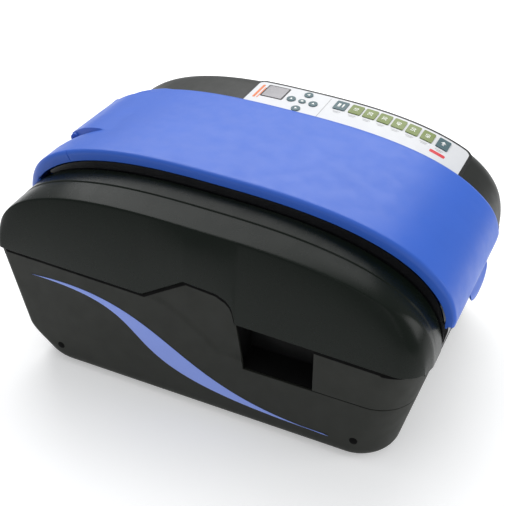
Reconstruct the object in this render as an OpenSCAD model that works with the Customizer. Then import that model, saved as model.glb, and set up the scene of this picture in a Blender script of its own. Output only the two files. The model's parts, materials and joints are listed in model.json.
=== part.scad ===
// Bench-top electronic dispenser for water-activated paper tape.
// X runs along the machine with the operator's end at +X, Y runs across it with the
// keypad on the +Y side, and Z is up. The origin is on the bench, under the middle.

/* [Body] */
// Half length of the body at its foot
foot_half = 200; // [185:1:215]
// Slope of the two body ends, in degrees from upright
end_draft = 13.4; // [8:0.1:16]
// Plan position of the near face of the base
near_y = -156; // [-164:1:-150]
// Plan position of the rear face of the machine
rear_y = 159; // [150:1:170]
// Radius of the upright corners
corner_r = 40; // [25:1:48]
// Height of the seam between the base and the upper covers, at mid length
seam_z = 130.5; // [122:0.5:136]
// Fall of the upper body towards the operator, per millimetre of length
body_tilt = 0.03; // [0:0.005:0.04]
// Wall of the moulded shells
wall = 3; // [2.4:0.1:3.6]
// Height of the rubber feet below the base
foot_h = 3; // [2:0.5:5]

/* [Upper covers] */
// Top of the hinged cover
top_z = 253; // [248:1:260]
// Height of the hinged cover's arch above its end faces
arch_rise = 103; // [95:1:110]
// Squareness of the arched outline, where 2 is an ellipse
arch_power = 2.65; // [2.3:0.05:3]
// Near edge of the hinged cover
cover_near_y = -101; // [-104:1:-98]
// Far edge of the hinged cover
cover_far_y = 58; // [54:1:60]
// Lowest edge of the hinged cover at the operator's end
cover_front_z = 152; // [150:1:156]
// Lowest edge of the hinged cover at the hinge end
cover_back_z = 166; // [165:1:172]
// Width of the finger lip at the cover's front edge
lip_w = 71; // [50:1:76]
// Width of the lip that the cover turns down along its near edge
edge_w = 8; // [5:0.5:10]
// How far the upper covers stand out past the base at the hinge end
back_overhang = 1.6; // [0:0.1:3]
// How far the hinged cover stands out past the base at the operator's end
front_overhang = 9.6; // [7:0.1:11]

/* [Cover hinge] */
// Distance of the hinge axis from the covers' hinge end
hinge_inset = 33; // [31:1:36]
// Depth of the hinge axis below the cover's inner skin
hinge_depth = 8.2; // [8:0.1:11]
// Radius of the hinge pins
pin_r = 2.5; // [2:0.1:2.8]
// Radius of the cover's hinge bosses
boss_r = 8; // [7:0.5:8.5]

/* [Tape roll] */
// Radius of a full roll of tape
roll_r = 88; // [70:1:90]
// Width of the tape
tape_w = 76; // [60:1:80]
// Inner radius of the roll's core
core_r = 19; // [15:1:25]
// Radius of the two cradle rollers
cradle_r = 8; // [7:0.5:9]

/* [Feed and cutter] */
// Radius of the driven feed roller
feed_r = 12; // [10:0.5:13]
// Radius of the pressure roller above it
press_r = 10; // [8:0.5:11]
// Radius of the motor's belt pulley
motor_pulley_r = 9; // [8:0.5:10]
// Radius of the feed roller's belt pulley
feed_pulley_r = 18; // [15:0.5:19]
// Upward stroke of the shear blade
blade_stroke = 14; // [10:0.5:15]

/* [Keypad] */
// Width of a key along the keypad
key_w = 14; // [11:0.5:14.5]
// Depth of a key across the keypad
key_d = 19; // [15:0.5:20]
// Space between the keys in the row
key_gap = 2.4; // [1.5:0.1:3]
// Travel of a key
key_travel = 0.8; // [0.4:0.1:1]

/* [Recess] */
// Height of the side recess floor
recess_z = 75; // [70:1:80]
// Depth of the side recess
recess_depth = 38; // [25:1:39]

/* [Hidden] */
$fn = 48;
eps = 0.01;
seam = 0.5;            // gap between fixed neighbours
fit = 0.05;            // radial running fit of a shaft in its bore
run = 0.4;             // gap round a moving piece
arch_steps = 44;
body_mid = -5;         // arched outlines are centred here
foot_mid = -3.5;       // the foot is centred here
far = 400;             // beyond everything

plate_mid_y = (cover_near_y + cover_far_y) / 2;     // middle of the tape path
wall_near_y = cover_near_y + seam;                  // near face of the near side wall
wall_far_y = cover_far_y - 8;                       // near face of the far side wall
steel = 3;                                          // thickness of the side walls
side_inner_y = cover_near_y - 1;                    // inner edge of the side cover
side_near_y = near_y - 3;                           // the side cover stands proud
floor_z = foot_h + wall;                            // top of the base floor
deck_z = floor_z + 2;                               // top of the chassis plate
seam_half = foot_half + (seam_z - foot_h) * tan(end_draft);
back_half = seam_half + back_overhang;
front_half = seam_half + front_overhang;
hinge_x = body_mid - back_half + hinge_inset;

house_top = top_z - 20;        // top of the control housing
house_half = back_half - 3;
plate_t = 1.2;                 // keypad plate
plate_x0 = -67;
key_pitch = key_w + key_gap;
plate_y0 = cover_far_y + 12;
plate_y1 = 131;
key_y = 116.5;                 // middle of the key row
row_x0 = 37;                   // middle of the first key of the row
key_row = [for (i = [0:7]) row_x0 + i * key_pitch + (i == 0 ? -1.5 : 0) + (i == 7 ? 1.2 : 0)];
plate_x1 = key_row[7] + key_w / 2 + 20;
cursor_x = -6;
cursor_y = 105;
membrane_x0 = -27.5;
membrane_gap = 0.2;            // from the housing's underside to the key membrane

roll_x = -57;
cradle_half = (roll_r + cradle_r + 0.3) * sin(30);
cradle_z = deck_z + cradle_r + 6;
roll_z = cradle_z + (roll_r + cradle_r + 0.3) * cos(30);
feed_x = 108;
feed_z = 150;
press_z = feed_z + feed_r + press_r + 0.4;
motor_x = 62;
motor_z = 52;
motor_r = 24;
pulley_w = 9;
pulley_y = wall_near_y - 4 - pulley_w / 2;
blade_x = 150;
blade_low_z = 118;
tank_x = 170;
tank_l = 40;
tank_z = 106;
bulkhead_x = roll_x - roll_r - 8;

// ---- outlines -------------------------------------------------------------------

function signed_pow(v, e) = sign(v) * pow(abs(v), e);

// One point of the arched outline, for an angle t from 0 at the hinge end to 180.
function arch_point(t, top, rise, back, front) =
    let (u = -signed_pow(cos(t), 2 / arch_power),
         r = pow(max(sin(t), 0), 2 / arch_power),
         dx = (u < 0 ? back : front) * u)
    [body_mid + dx, top - rise + rise * r - body_tilt * dx];

function arch(top, rise, back, front, low) = concat(
    [for (i = [0:arch_steps]) arch_point(180 * i / arch_steps, top, rise, back, front)],
    [[body_mid + front, low], [body_mid - back, low]]);

// Height and slope of the arch at a place along it.
function arch_z(x, top, rise, half) =
    top - rise - body_tilt * (x - body_mid)
    + rise * pow(1 - pow(abs(x - body_mid) / half, arch_power), 1 / arch_power);
hinge_z = arch_z(hinge_x, top_z - wall, arch_rise, back_half - 3 - wall) - hinge_depth;
function key_slope(x) =
    atan((arch_z(x + 1, house_top, arch_rise, house_half)
        - arch_z(x - 1, house_top, arch_rise, house_half)) / 2);

// ---- building blocks --------------------------------------------------------------

module slice_xz(y0, y1) {
    translate([0, y1, 0]) rotate([90, 0, 0]) linear_extrude(y1 - y0) children();
}

module arch_prism(y0, y1, top, rise, back, front, low = 0) {
    slice_xz(y0, y1) polygon(arch(top, rise, back, front, low));
}

module above_seam(gap = 0) {
    translate([body_mid, 0, seam_z + gap]) rotate([0, atan(body_tilt), 0])
        translate([-far, -far, 0]) cube([2 * far, 2 * far, far]);
}

module below_seam(gap = 0) {
    translate([body_mid, 0, seam_z - gap]) rotate([0, atan(body_tilt), 0])
        translate([-far, -far, -far]) cube([2 * far, 2 * far, far]);
}

module rounded_slab(x0, x1, y0, y1, r, z) {
    for (x = [x0 + r, x1 - r], y = [y0 + r, y1 - r])
        translate([x, y, z]) cylinder(r = r, h = eps, $fn = 64);
}

// The drafted tub of the base, as a solid that is smaller by inset all round.
module tub(inset, z0) {
    z1 = seam_z + 20;
    half0 = foot_half + (z0 - foot_h) * tan(end_draft) - inset;
    half1 = foot_half + (z1 - foot_h) * tan(end_draft) - inset;
    r = corner_r - inset;
    hull() {
        rounded_slab(foot_mid - half0, foot_mid + half0, near_y + inset, rear_y - 3 - inset, r, z0);
        rounded_slab(foot_mid - half1, foot_mid + half1, near_y + inset, rear_y - 3 - inset, r, z1);
    }
}

module rod_y(x, z, y0, y1, r) {
    translate([x, y0, z]) rotate([-90, 0, 0]) cylinder(r = r, h = y1 - y0);
}

module rounded_box(size, r) {
    linear_extrude(size[2]) {
        square([size[0] - 2 * r, size[1]], center = true);
        square([size[0], size[1] - 2 * r], center = true);
        for (x = [-1, 1], y = [-1, 1])
            translate([x * (size[0] / 2 - r), y * (size[1] / 2 - r)]) circle(r = r);
    }
}

// ---- base -------------------------------------------------------------------------

tab_points = [[-61, seam_z - 4], [-61, seam_z + 3.5], [-13, seam_z + 32], [19, seam_z + 29],
    [29, seam_z + 24], [35, seam_z + 16], [38, seam_z + 4], [38, seam_z - 4]];
recess_points = [[40, seam_z + 20], [40, seam_z - 4], [46, recess_z + 9], [47, recess_z],
    [120, recess_z], [120, seam_z + 20]];

module recess_mouth(grow = 0) {
    slice_xz(near_y - 20, near_y + wall + 1 + grow) polygon(recess_points);
}

// Space taken by the panel that wraps the near corner of the operator's end.
module corner_zone(gap) {
    translate([120 + gap, near_y - 10, recess_z + gap])
        cube([far, rear_y - near_y - 60, seam_z]);
}

module base_shell() color([0.19, 0.19, 0.17]) {
    difference() {
        tub(0, foot_h);
        tub(wall, floor_z);
        above_seam();
        recess_mouth();
        intersection() {
            corner_zone(0);
            difference() { tub(-1, foot_h); tub(wall / 2, floor_z); }
        }
        inlet_hole(0);
        switch_hole(0);
        screw_seats(0);
        outlet_mouth();
    }
    slice_xz(near_y, near_y + wall) polygon(tab_points);
    screw_bosses();
}

screw_x = [-174, 165];
screw_z = foot_h + 19;

module screw_seats(gap) {
    for (x = screw_x) rod_y(x, screw_z, near_y - 1, near_y + wall + 1, 2.5 + gap);
}

module screw_bosses() {
    for (x = screw_x) difference() {
        rod_y(x, screw_z, near_y + wall, near_y + wall + 12, 6);
        rod_y(x, screw_z, near_y + wall - 1, near_y + wall + 13, 2.5);
    }
}

module outlet_mouth() {
    translate([200, plate_mid_y - tape_w / 2 - 4, seam_z - 12])
        cube([60, tape_w + 8, 40]);
}

module panel_screws() color([0.08, 0.08, 0.08])
    for (x = screw_x) rod_y(x, screw_z, near_y + 1.2, near_y + wall + 11, 2.5);

module chassis_plate() color([0.6, 0.62, 0.64])
    translate([foot_mid, (near_y + rear_y) / 2, floor_z])
        rounded_box([2 * foot_half - 16, rear_y - near_y - 14, deck_z - floor_z], 30);

foot_x = [foot_mid - foot_half + 38, foot_mid + foot_half - 38];
foot_y = [near_y + 38, rear_y - 41];

module rubber_feet() color([0.05, 0.05, 0.05])
    for (x = foot_x, y = foot_y) translate([x, y, 0]) cylinder(r1 = 10, r2 = 11, h = foot_h);

// The inlay's upper and lower edges are cubic curves between its two tips.
function bezier(p, t) =
    pow(1 - t, 3) * p[0] + 3 * t * pow(1 - t, 2) * p[1] + 3 * t * t * (1 - t) * p[2] + pow(t, 3) * p[3];
swoosh_top = [[-199, 111], [-60, 123], [-40, 30], [140, 19]];
swoosh_low = [[-199, 111], [-80, 118], [-70, 10], [140, 19]];

module swoosh_inlay() color([0.5, 0.6, 0.9])
    slice_xz(near_y - 0.4, near_y) polygon(concat(
        [for (i = [0:20]) bezier(swoosh_top, i / 20)],
        [for (i = [19:-1:1]) bezier(swoosh_low, i / 20)]));

module recess_liner() color([0.1, 0.1, 0.1])
    difference() {
        translate([37, near_y + wall + seam, recess_z - 2])
            cube([86, recess_depth - wall, seam_z - recess_z - 4]);
        translate([40, near_y, recess_z])
            cube([80, recess_depth - 2, far]);
    }

module corner_panel() color([0.2, 0.21, 0.19])
    intersection() {
        difference() { tub(0, foot_h); tub(wall / 2 - seam / 2, floor_z); }
        corner_zone(seam);
        below_seam(0);
        difference() {
            translate([-far, -far, 0]) cube(2 * far);
            outlet_mouth();
        }
    }

// ---- upper dark cover ---------------------------------------------------------------

// Top of the side cover's arch at each depth step, from its inner edge to the near face.
side_top = top_z - 21;
side_rise = arch_rise + 7;
side_sections = concat([[side_inner_y, back_half, 0]],
    [for (a = [0:15:90]) [side_near_y + corner_r - corner_r * sin(a),
        back_half - corner_r * (1 - cos(a)),
        5 + 16 * a / 90 + 20 * pow(sin(a), 8)]]);

module side_solid(inset) {
    hull() for (s = side_sections) {
        y = max(s[0], side_near_y + inset);
        arch_prism(y - eps, y, side_top - s[2] - inset, side_rise - s[2] / 2,
            s[1] - inset, s[1] - inset - 2, seam_z - 14);
    }
}

module side_cover() color([0.17, 0.2, 0.18])
    difference() {
        side_solid(0);
        translate([0, 0, -1]) intersection() {
            side_solid(wall);
            translate([-far, -far, 0]) cube([2 * far, far + side_inner_y - wall, far]);
        }
        below_seam(-seam);
        slice_xz(side_near_y - 1, near_y + wall + 1)
            polygon([for (p = tab_points) [p[0] + (p[0] < -13 ? -1 : p[0] > 19 ? seam : 0),
                p[1] + (p[1] > seam_z ? seam : -9)]]);
        translate([-far, side_inner_y - wall - 1, 0]) cube([2 * far, 2 * wall, seam_z + 40]);
    }

// ---- chassis -------------------------------------------------------------------------

wall_top = top_z - edge_w - 3.6;
wall_back = back_half - edge_w - 3.6;
wall_front = front_half - edge_w - 0.6;

// Outline of a side wall: an arch above the seam, a drafted web below it.
module wall_outline(top) {
    web_low = foot_half - wall - 5;
    web_high = seam_half - wall - 6.4;
    intersection() {
        polygon(arch(top, arch_rise, wall_back, wall_front, 0));
        union() {
            polygon([[-far, far], [far, far], [far, seam_z + 0.5 - body_tilt * far],
                [-far, seam_z + 0.5 + body_tilt * far]]);
            polygon([[foot_mid + web_high, seam_z + 10], [foot_mid + web_high, seam_z - 10],
                [foot_mid + web_low, deck_z], [foot_mid - web_low, deck_z],
                [foot_mid - web_high, seam_z - 10], [foot_mid - web_high, seam_z + 10]]);
        }
    }
}

module shaft_holes(y0, y1) {
    rod_y(feed_x, feed_z, y0, y1, 4 + fit);
    rod_y(feed_x, press_z, y0, y1, 3 + fit);
}

module near_side_wall() color([0.07, 0.07, 0.08])
    difference() {
        slice_xz(wall_near_y, wall_near_y + steel) wall_outline(wall_top);
        shaft_holes(wall_near_y - 1, wall_near_y + steel + 1);
        rod_y(motor_x, motor_z, wall_near_y - 1, wall_near_y + steel + 1, 8);
        hinge_clearance(wall_near_y - 1, wall_near_y + steel + 1);
    }

module far_side_wall() color([0.07, 0.07, 0.08]) {
    difference() {
        slice_xz(wall_far_y, wall_far_y + steel) wall_outline(wall_top - 6.4);
        shaft_holes(wall_far_y - 1, wall_far_y + steel + 1);
        hinge_clearance(wall_far_y - 1, wall_far_y + steel + 1);
    }
    translate([buffer_x - buffer_w / 2, wall_far_y - buffer_w, buffer_z - buffer_h - 3])
        cube([buffer_w, buffer_w, 3]);
}

// Room in a side wall for the cover's end to swing down past it.
swing_r = sqrt(pow(hinge_x - body_mid + back_half, 2) + pow(hinge_z - cover_back_z, 2)) + 1.5;
module hinge_clearance(y0, y1) {
    difference() {
        rod_y(hinge_x, hinge_z, y0, y1, swing_r);
        translate([hinge_x + 5, y0 - 1, hinge_z - 3]) cube([far, y1 - y0 + 2, far]);
    }
}

module rear_panel() color([0.15, 0.15, 0.14])
    intersection() {
        translate([body_mid - back_half, wall_near_y + steel, seam_z - 8])
            cube([14, wall_far_y - wall_near_y - steel, cover_back_z - seam_z]);
        difference() {
            slice_xz(-far, far) polygon([[body_mid - back_half + 1, seam_z - 8],
                [body_mid - back_half + 1, far], [body_mid - back_half + 4, far],
                [body_mid - back_half + 8, seam_z - 8]]);
            below_seam(-seam);
        }
    }

// Closes the operator's end under the hinged cover, round the slot that the tape leaves by.
module front_panel() color([0.07, 0.07, 0.08]) {
    top = cover_front_z + 5;
    low = seam_z + 1 - body_tilt * seam_half;
    out = foot_mid + seam_half - 1;
    difference() {
        slice_xz(wall_near_y + steel, wall_far_y) polygon([[out - 3, low], [out, low],
            [out + 3.5, cover_front_z - 8], [out + 3.5, top], [out, top]]);
        translate([out - 10, plate_mid_y - tape_w / 2 - 4, low - 1]) cube([30, tape_w + 8, 14]);
    }
}

ear_t = 8;
boss_w = 14;
boss_y = [-42, 24];            // near faces of the two hinge bosses
ear_r = 5.5;
ear_y = [boss_y[0] + boss_w + run, boss_y[1] - ear_t - run];

module hinge_bulkhead() color([0.5, 0.52, 0.54])
    difference() {
        union() {
            translate([bulkhead_x, wall_near_y + steel, deck_z])
                cube([steel, wall_far_y - wall_near_y - steel, hinge_z - 2 - deck_z]);
            for (y = ear_y) {
                rod_y(hinge_x, hinge_z, y, y + ear_t, ear_r);
                translate([hinge_x, y, hinge_z - ear_r])
                    cube([bulkhead_x + steel - hinge_x, ear_t, 1.8 * ear_r]);
            }
        }
        for (y = ear_y) rod_y(hinge_x, hinge_z, y - 1, y + ear_t + 1, pin_r);
    }

module hinge_pins() color([0.75, 0.75, 0.76]) {
    rod_y(hinge_x, hinge_z, boss_y[0] + 3, ear_y[0] + ear_t, pin_r);
    rod_y(hinge_x, hinge_z, ear_y[1], boss_y[1] + boss_w - 3, pin_r);
}

// ---- hinged cover ------------------------------------------------------------------------

module cover_solid(inset, y0, y1, drop = 0) {
    arch_prism(y0, y1, top_z - inset - drop, arch_rise, back_half - 3 - inset, front_half - inset);
}

// Each boss shows at the bottom of a pocket in the skin, on the side away from its twin.
pocket_w = 9;
pocket_l = 15;
pocket_z = hinge_z - 9;
pocket_y = [boss_y[0] - pocket_w, boss_y[1] + boss_w];
pocket_wall_y = [pocket_y[0] - 2, pocket_y[1] + pocket_w];

module boss_pockets() {
    for (y = pocket_y) translate([hinge_x - far, y, pocket_z])
        cube([far + pocket_l, pocket_w, far]);
}

module top_cover() color([0.40, 0.50, 0.86])
    difference() {
        union() {
            difference() {
                cover_solid(0, cover_near_y, cover_far_y);
                cover_solid(wall, cover_near_y + wall, cover_far_y - wall);
                cover_solid(edge_w, cover_near_y - 1, cover_near_y + wall + 1, 3);
                cover_solid(edge_w, cover_far_y - wall - 1, cover_far_y + 1, 12.5);
                translate([body_mid, -far, -1]) cube([far, 2 * far, cover_front_z + 1]);
                translate([body_mid - far, -far, -1]) cube([far, 2 * far, cover_back_z + 1]);
            }
            for (y = boss_y) intersection() {
                union() {
                    rod_y(hinge_x, hinge_z, y, y + boss_w, boss_r);
                    translate([hinge_x - boss_r, y, hinge_z]) cube([2 * boss_r, boss_w, far]);
                }
                cover_solid(0.5, cover_near_y, cover_far_y);
            }
            for (y = pocket_wall_y) intersection() {
                translate([hinge_x - far, y, pocket_z - 2]) cube([far + 2 * pocket_l, 2, far]);
                cover_solid(0.5, cover_near_y, cover_far_y);
            }
            finger_lip();
        }
        boss_pockets();
        for (y = boss_y) rod_y(hinge_x, hinge_z, y - 1, y + boss_w + 1, pin_r + fit);
    }

lip_mid_y = 6;
lip_drop = 17;

module finger_lip() {
    translate([body_mid + front_half - wall, lip_mid_y, cover_front_z + 2])
        rotate([0, 90, 0]) linear_extrude(wall + 2) difference() {
            scale([lip_drop / (lip_w / 2), 1]) circle(r = lip_w / 2, $fn = 64);
            translate([-far, -far]) square([far - 2, 2 * far]);
        }
}

// A rubber buffer on a tab of the far side wall stops the cover just clear of it.
buffer_x = 150;
buffer_w = 8;
buffer_h = 12;
buffer_z = arch_z(buffer_x, top_z - wall, arch_rise, front_half - wall) - 2.5;

module cover_buffer() color([0.05, 0.05, 0.05])
    translate([buffer_x, wall_far_y - buffer_w / 2, buffer_z - buffer_h])
        cylinder(r = 3, h = buffer_h);

// ---- control housing and keypad -----------------------------------------------------------

module house_solid(inset) {
    hull() for (a = [0:15:90]) {
        y = rear_y - corner_r + (corner_r - inset) * sin(a);
        half = house_half - (corner_r - 0) * 0.75 * (1 - cos(a)) - inset;
        drop = 24 * pow(sin(a), 3) * (a > 0 ? 1 : 0);
        if (a == 0) arch_prism(cover_far_y + 0.6 + (inset > 0 ? inset : 0), y, house_top - inset, arch_rise,
            half, half, seam_z - 14);
        else arch_prism(y - eps, y, house_top - inset - drop, arch_rise - drop * 0.6, half, half, seam_z - 14);
    }
}

module keypad_window() {
    slice_xz(plate_y0 + 8, plate_y1 - 2) polygon([
        [plate_x0 + 4, house_top - 40], [plate_x0 + 4, far],
        [plate_x1 - 4, far], [plate_x1 - 4, house_top - 60]]);
}

module control_housing() color([0.24, 0.24, 0.22])
    difference() {
        house_solid(0);
        translate([0, 0, -1]) house_solid(wall);
        below_seam(-seam);
        keypad_window();
    }

function strip(x0, x1, lift, n = 30) =
    [for (i = [0:n]) let (x = x0 + (x1 - x0) * i / n)
        [x, arch_z(x, house_top, arch_rise, house_half) + lift]];
function band(x0, x1, low, high) =
    concat(strip(x0, x1, high), [for (i = [30:-1:0]) strip(x0, x1, low)[i]]);

module key_frame(x, y) {
    translate([x, y, arch_z(x, house_top, arch_rise, house_half) + plate_t])
        rotate([0, -key_slope(x), 0]) children();
}

cursor_places = [[cursor_x + 1, cursor_y + 17], [cursor_x, cursor_y - 18], [cursor_x - 13, cursor_y],
    [cursor_x + 13, cursor_y], [cursor_x, cursor_y]];
display_x = -41;
display_y = 112;
display_size = [24, 26];

module plate_holes() {
    for (x = key_row) key_frame(x, key_y) translate([0, 0, -8])
        rounded_box([key_w + 2 * run, key_d + 2 * run, 12], 2);
    for (i = [0:3]) key_frame(cursor_places[i][0], cursor_places[i][1])
        translate([0, 0, -8]) cursor_outline(run, 12);
    key_frame(cursor_places[4][0], cursor_places[4][1])
        translate([0, 0, -8]) cylinder(r = 4.2 + run, h = 12);
    key_frame(display_x, display_y) translate([0, 0, -8])
        rounded_box([display_size[0], display_size[1], 12], 1.5);
}

module cursor_outline(grow, h) {
    linear_extrude(h) scale([1, 1.15]) circle(r = 5 + grow);
}

module keypad_plate() color([0.93, 0.93, 0.93])
    difference() {
        slice_xz(plate_y0, plate_y1) polygon(band(plate_x0, plate_x1, 0.06, plate_t));
        plate_holes();
    }

function under_strip(x0, x1, lift, n = 30) =
    [for (i = [0:n]) let (x = x0 + (x1 - x0) * i / n)
        [x, arch_z(x, house_top - wall, arch_rise, house_half - wall) - 1 + lift]];

module key_membrane() color([0.3, 0.5, 0.35])
    slice_xz(plate_y0 + 2, plate_y1 - 7) polygon(concat(
        under_strip(membrane_x0, plate_x1 - 6, -membrane_gap),
        [for (i = [30:-1:0]) under_strip(membrane_x0, plate_x1 - 6, -membrane_gap - 1.2)[i]]));

module display_window() color([0.45, 0.44, 0.47])
    key_frame(display_x, display_y) translate([0, 0, -plate_t])
        rounded_box([display_size[0] - 0.4, display_size[1] - 0.4, plate_t - 0.1], 1.4);

module display_module() color([0.2, 0.22, 0.2])
    key_frame(display_x, display_y) translate([0, 0, -plate_t - 4.4])
        rounded_box([display_size[0] - 3, display_size[1] - 4, 4.2], 1);

key_lift = 0.9;
key_below = plate_t + wall + 1 + membrane_gap - key_travel - 0.5;

module row_key(i) {
    key_frame(key_row[i], key_y) translate([0, 0, -key_below])
        rounded_box([key_w, key_d, key_below + key_lift], 1.6);
}

module cursor_key(i) {
    key_frame(cursor_places[i][0], cursor_places[i][1])
        translate([0, 0, -key_below]) cursor_outline(0, key_below + key_lift);
}

module key_up() color([0.24, 0.43, 0.45]) cursor_key(0);
module key_down() color([0.24, 0.43, 0.45]) cursor_key(1);
module key_left() color([0.24, 0.43, 0.45]) cursor_key(2);
module key_right() color([0.24, 0.43, 0.45]) cursor_key(3);
module key_enter() color([0.24, 0.43, 0.45])
    key_frame(cursor_places[4][0], cursor_places[4][1])
        translate([0, 0, -key_below]) cylinder(r = 4.2, h = key_below + key_lift);
module key_double() color([0.24, 0.43, 0.45]) row_key(0);
module key_length(i) color([0.5, 0.57, 0.2]) row_key(i);
module key_repeat() color([0.24, 0.43, 0.45]) row_key(7);

// ---- tape roll ---------------------------------------------------------------------------

module tape_roll() color([0.72, 0.6, 0.42])
    difference() {
        rod_y(roll_x, roll_z, plate_mid_y - tape_w / 2, plate_mid_y + tape_w / 2, roll_r);
        rod_y(roll_x, roll_z, plate_mid_y - tape_w, plate_mid_y + tape_w, core_r + 3);
    }

module roll_core() color([0.6, 0.48, 0.33])
    difference() {
        rod_y(roll_x, roll_z, plate_mid_y - tape_w / 2, plate_mid_y + tape_w / 2, core_r + 3);
        rod_y(roll_x, roll_z, plate_mid_y - tape_w, plate_mid_y + tape_w, core_r);
    }

cheek_y = [plate_mid_y - tape_w / 2 - 5, plate_mid_y + tape_w / 2 + 2];
cheek_t = 3;

module roll_cradle() color([0.2, 0.2, 0.2])
    difference() {
        union() {
            for (y = cheek_y) translate([roll_x - cradle_half - 20, y, deck_z])
                cube([2 * cradle_half + 40, cheek_t, 52]);
            translate([roll_x - cradle_half - 20, cheek_y[0], deck_z])
                cube([2 * cradle_half + 40, cheek_y[1] - cheek_y[0] + cheek_t, 2]);
        }
        for (s = [-1, 1]) rod_y(roll_x + s * cradle_half, cradle_z, cheek_y[0] - 1,
            cheek_y[1] + cheek_t + 1, 3 + fit);
    }

module cradle_roller(s) color([0.8, 0.8, 0.78]) {
    rod_y(roll_x + s * cradle_half, cradle_z, cheek_y[0] + cheek_t + run, cheek_y[1] - run, cradle_r);
    rod_y(roll_x + s * cradle_half, cradle_z, cheek_y[0] - 1, cheek_y[1] + cheek_t + 1, 3);
}
module cradle_roller_back() cradle_roller(-1);
module cradle_roller_front() cradle_roller(1);

// ---- feed ---------------------------------------------------------------------------------

module feed_roller() color([0.25, 0.25, 0.26]) {
    rod_y(feed_x, feed_z, plate_mid_y - tape_w / 2 - 2, plate_mid_y + tape_w / 2 + 2, feed_r);
    rod_y(feed_x, feed_z, pulley_y - pulley_w / 2 - 1, wall_far_y + steel + 1, 4);
}

module feed_pulley() color([0.15, 0.15, 0.15])
    difference() {
        rod_y(feed_x, feed_z, pulley_y - pulley_w / 2, pulley_y + pulley_w / 2, feed_pulley_r);
        rod_y(feed_x, feed_z, pulley_y - pulley_w, pulley_y + pulley_w, 4);
    }

module pressure_roller() color([0.55, 0.3, 0.25]) {
    rod_y(feed_x, press_z, plate_mid_y - tape_w / 2 - 2, plate_mid_y + tape_w / 2 + 2, press_r);
    rod_y(feed_x, press_z, wall_near_y - 0.5, wall_far_y + steel + 1, 3);
}

module drive_motor() color([0.35, 0.36, 0.38])
    difference() {
        union() {
            rod_y(motor_x, motor_z, wall_near_y + steel, wall_near_y + steel + 52, motor_r);
            rod_y(motor_x, motor_z, wall_near_y - 1, wall_near_y + steel, 8 - fit);
        }
        rod_y(motor_x, motor_z, wall_near_y - 2, wall_near_y + steel + 20, 3 + fit);
    }

module motor_pulley() color([0.15, 0.15, 0.15]) {
    rod_y(motor_x, motor_z, pulley_y - pulley_w / 2, pulley_y + pulley_w / 2, motor_pulley_r);
    rod_y(motor_x, motor_z, pulley_y, wall_near_y + steel + 15, 3);
}

// A belt round both pulleys: the rim of the shape that two circles and their tangents make.
belt_t = 2;
module belt_outline(grow) {
    hull() {
        translate([motor_x, motor_z]) circle(r = motor_pulley_r + grow, $fn = 72);
        translate([feed_x, feed_z]) circle(r = feed_pulley_r + grow, $fn = 72);
    }
}

module drive_belt() color([0.06, 0.06, 0.06])
    slice_xz(pulley_y - pulley_w / 2 + 1, pulley_y + pulley_w / 2 - 1) difference() {
        belt_outline(0.3 + belt_t);
        belt_outline(0.3);
    }

// ---- cutter and moistener --------------------------------------------------------------------

blade_y0 = plate_mid_y - tape_w / 2 - 6;
blade_w = tape_w + 12;

module fixed_blade() color([0.7, 0.72, 0.74]) {
    translate([blade_x + 2.3, blade_y0, feed_z - 1]) cube([2, blade_w, 14]);
    translate([blade_x + 2.3, wall_near_y + steel, feed_z + 13])
        cube([12, wall_far_y - wall_near_y - steel, 8]);
}

solenoid_y = plate_mid_y;
module shear_blade() color([0.72, 0.74, 0.76]) {
    translate([blade_x, blade_y0, blade_low_z]) cube([2, blade_w, feed_z - 4 - blade_low_z]);
    translate([blade_x - 3, solenoid_y - 8, blade_low_z - 8]) cube([8, 16, 8]);
    translate([blade_x + 1, solenoid_y, blade_low_z - 40]) cylinder(r = 5, h = 32);
}

module cutter_solenoid() color([0.45, 0.3, 0.2])
    difference() {
        translate([blade_x - 17, solenoid_y - 20, deck_z]) cube([36, 40, blade_low_z - 26 - deck_z]);
        translate([blade_x + 1, solenoid_y, blade_low_z - 44]) cylinder(r = 5 + fit, h = 60);
    }

module water_tank() color([0.85, 0.86, 0.84])
    difference() {
        translate([tank_x, wall_near_y + steel, tank_z])
            cube([tank_l, wall_far_y - wall_near_y - steel, 26]);
        translate([tank_x + 2, wall_near_y + steel + 2, tank_z + 2])
            cube([tank_l - 4, wall_far_y - wall_near_y - steel - 4, 40]);
    }

module water_brush() color([0.15, 0.14, 0.12]) {
    translate([tank_x + 8, blade_y0 + 2, tank_z + 2]) cube([22, blade_w - 4, 16]);
    for (i = [0:2]) translate([tank_x + 10 + i * 7, blade_y0 + 3, tank_z + 18])
        cube([4, blade_w - 6, 22]);
}

module heater_plate() color([0.78, 0.79, 0.8])
    translate([tank_x - 2, wall_near_y + steel, feed_z + 8])
        cube([38, wall_far_y - wall_near_y - steel, 8]);

module water_bottle() color([0.8, 0.85, 0.88]) {
    translate([158, (near_y + wall_near_y) / 2 - 1, 98]) rounded_box([50, 38, 72], 8);
    translate([158, (near_y + wall_near_y) / 2 - 1, 88]) cylinder(r = 11, h = 10);
}

module bottle_cap() color([0.12, 0.12, 0.13]) {
    translate([158, (near_y + wall_near_y) / 2 - 1, 74]) cylinder(r = 13, h = 14);
    translate([158, (near_y + wall_near_y) / 2 - 1, deck_z]) cylinder(r = 9, h = 66);
}

module outlet_guide() color([0.6, 0.62, 0.63])
    slice_xz(plate_mid_y - tape_w / 2 - 3, plate_mid_y + tape_w / 2 + 3)
        polygon([[tank_x + tank_l, tank_z + 23], [tank_x + tank_l, tank_z + 25],
            [226, seam_z - 9.5], [226, seam_z - 11.5]]);

// ---- electrics -------------------------------------------------------------------------------

module power_supply() color([0.62, 0.63, 0.64])
    translate([-150, 66, deck_z]) cube([100, 62, 62]);

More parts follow.
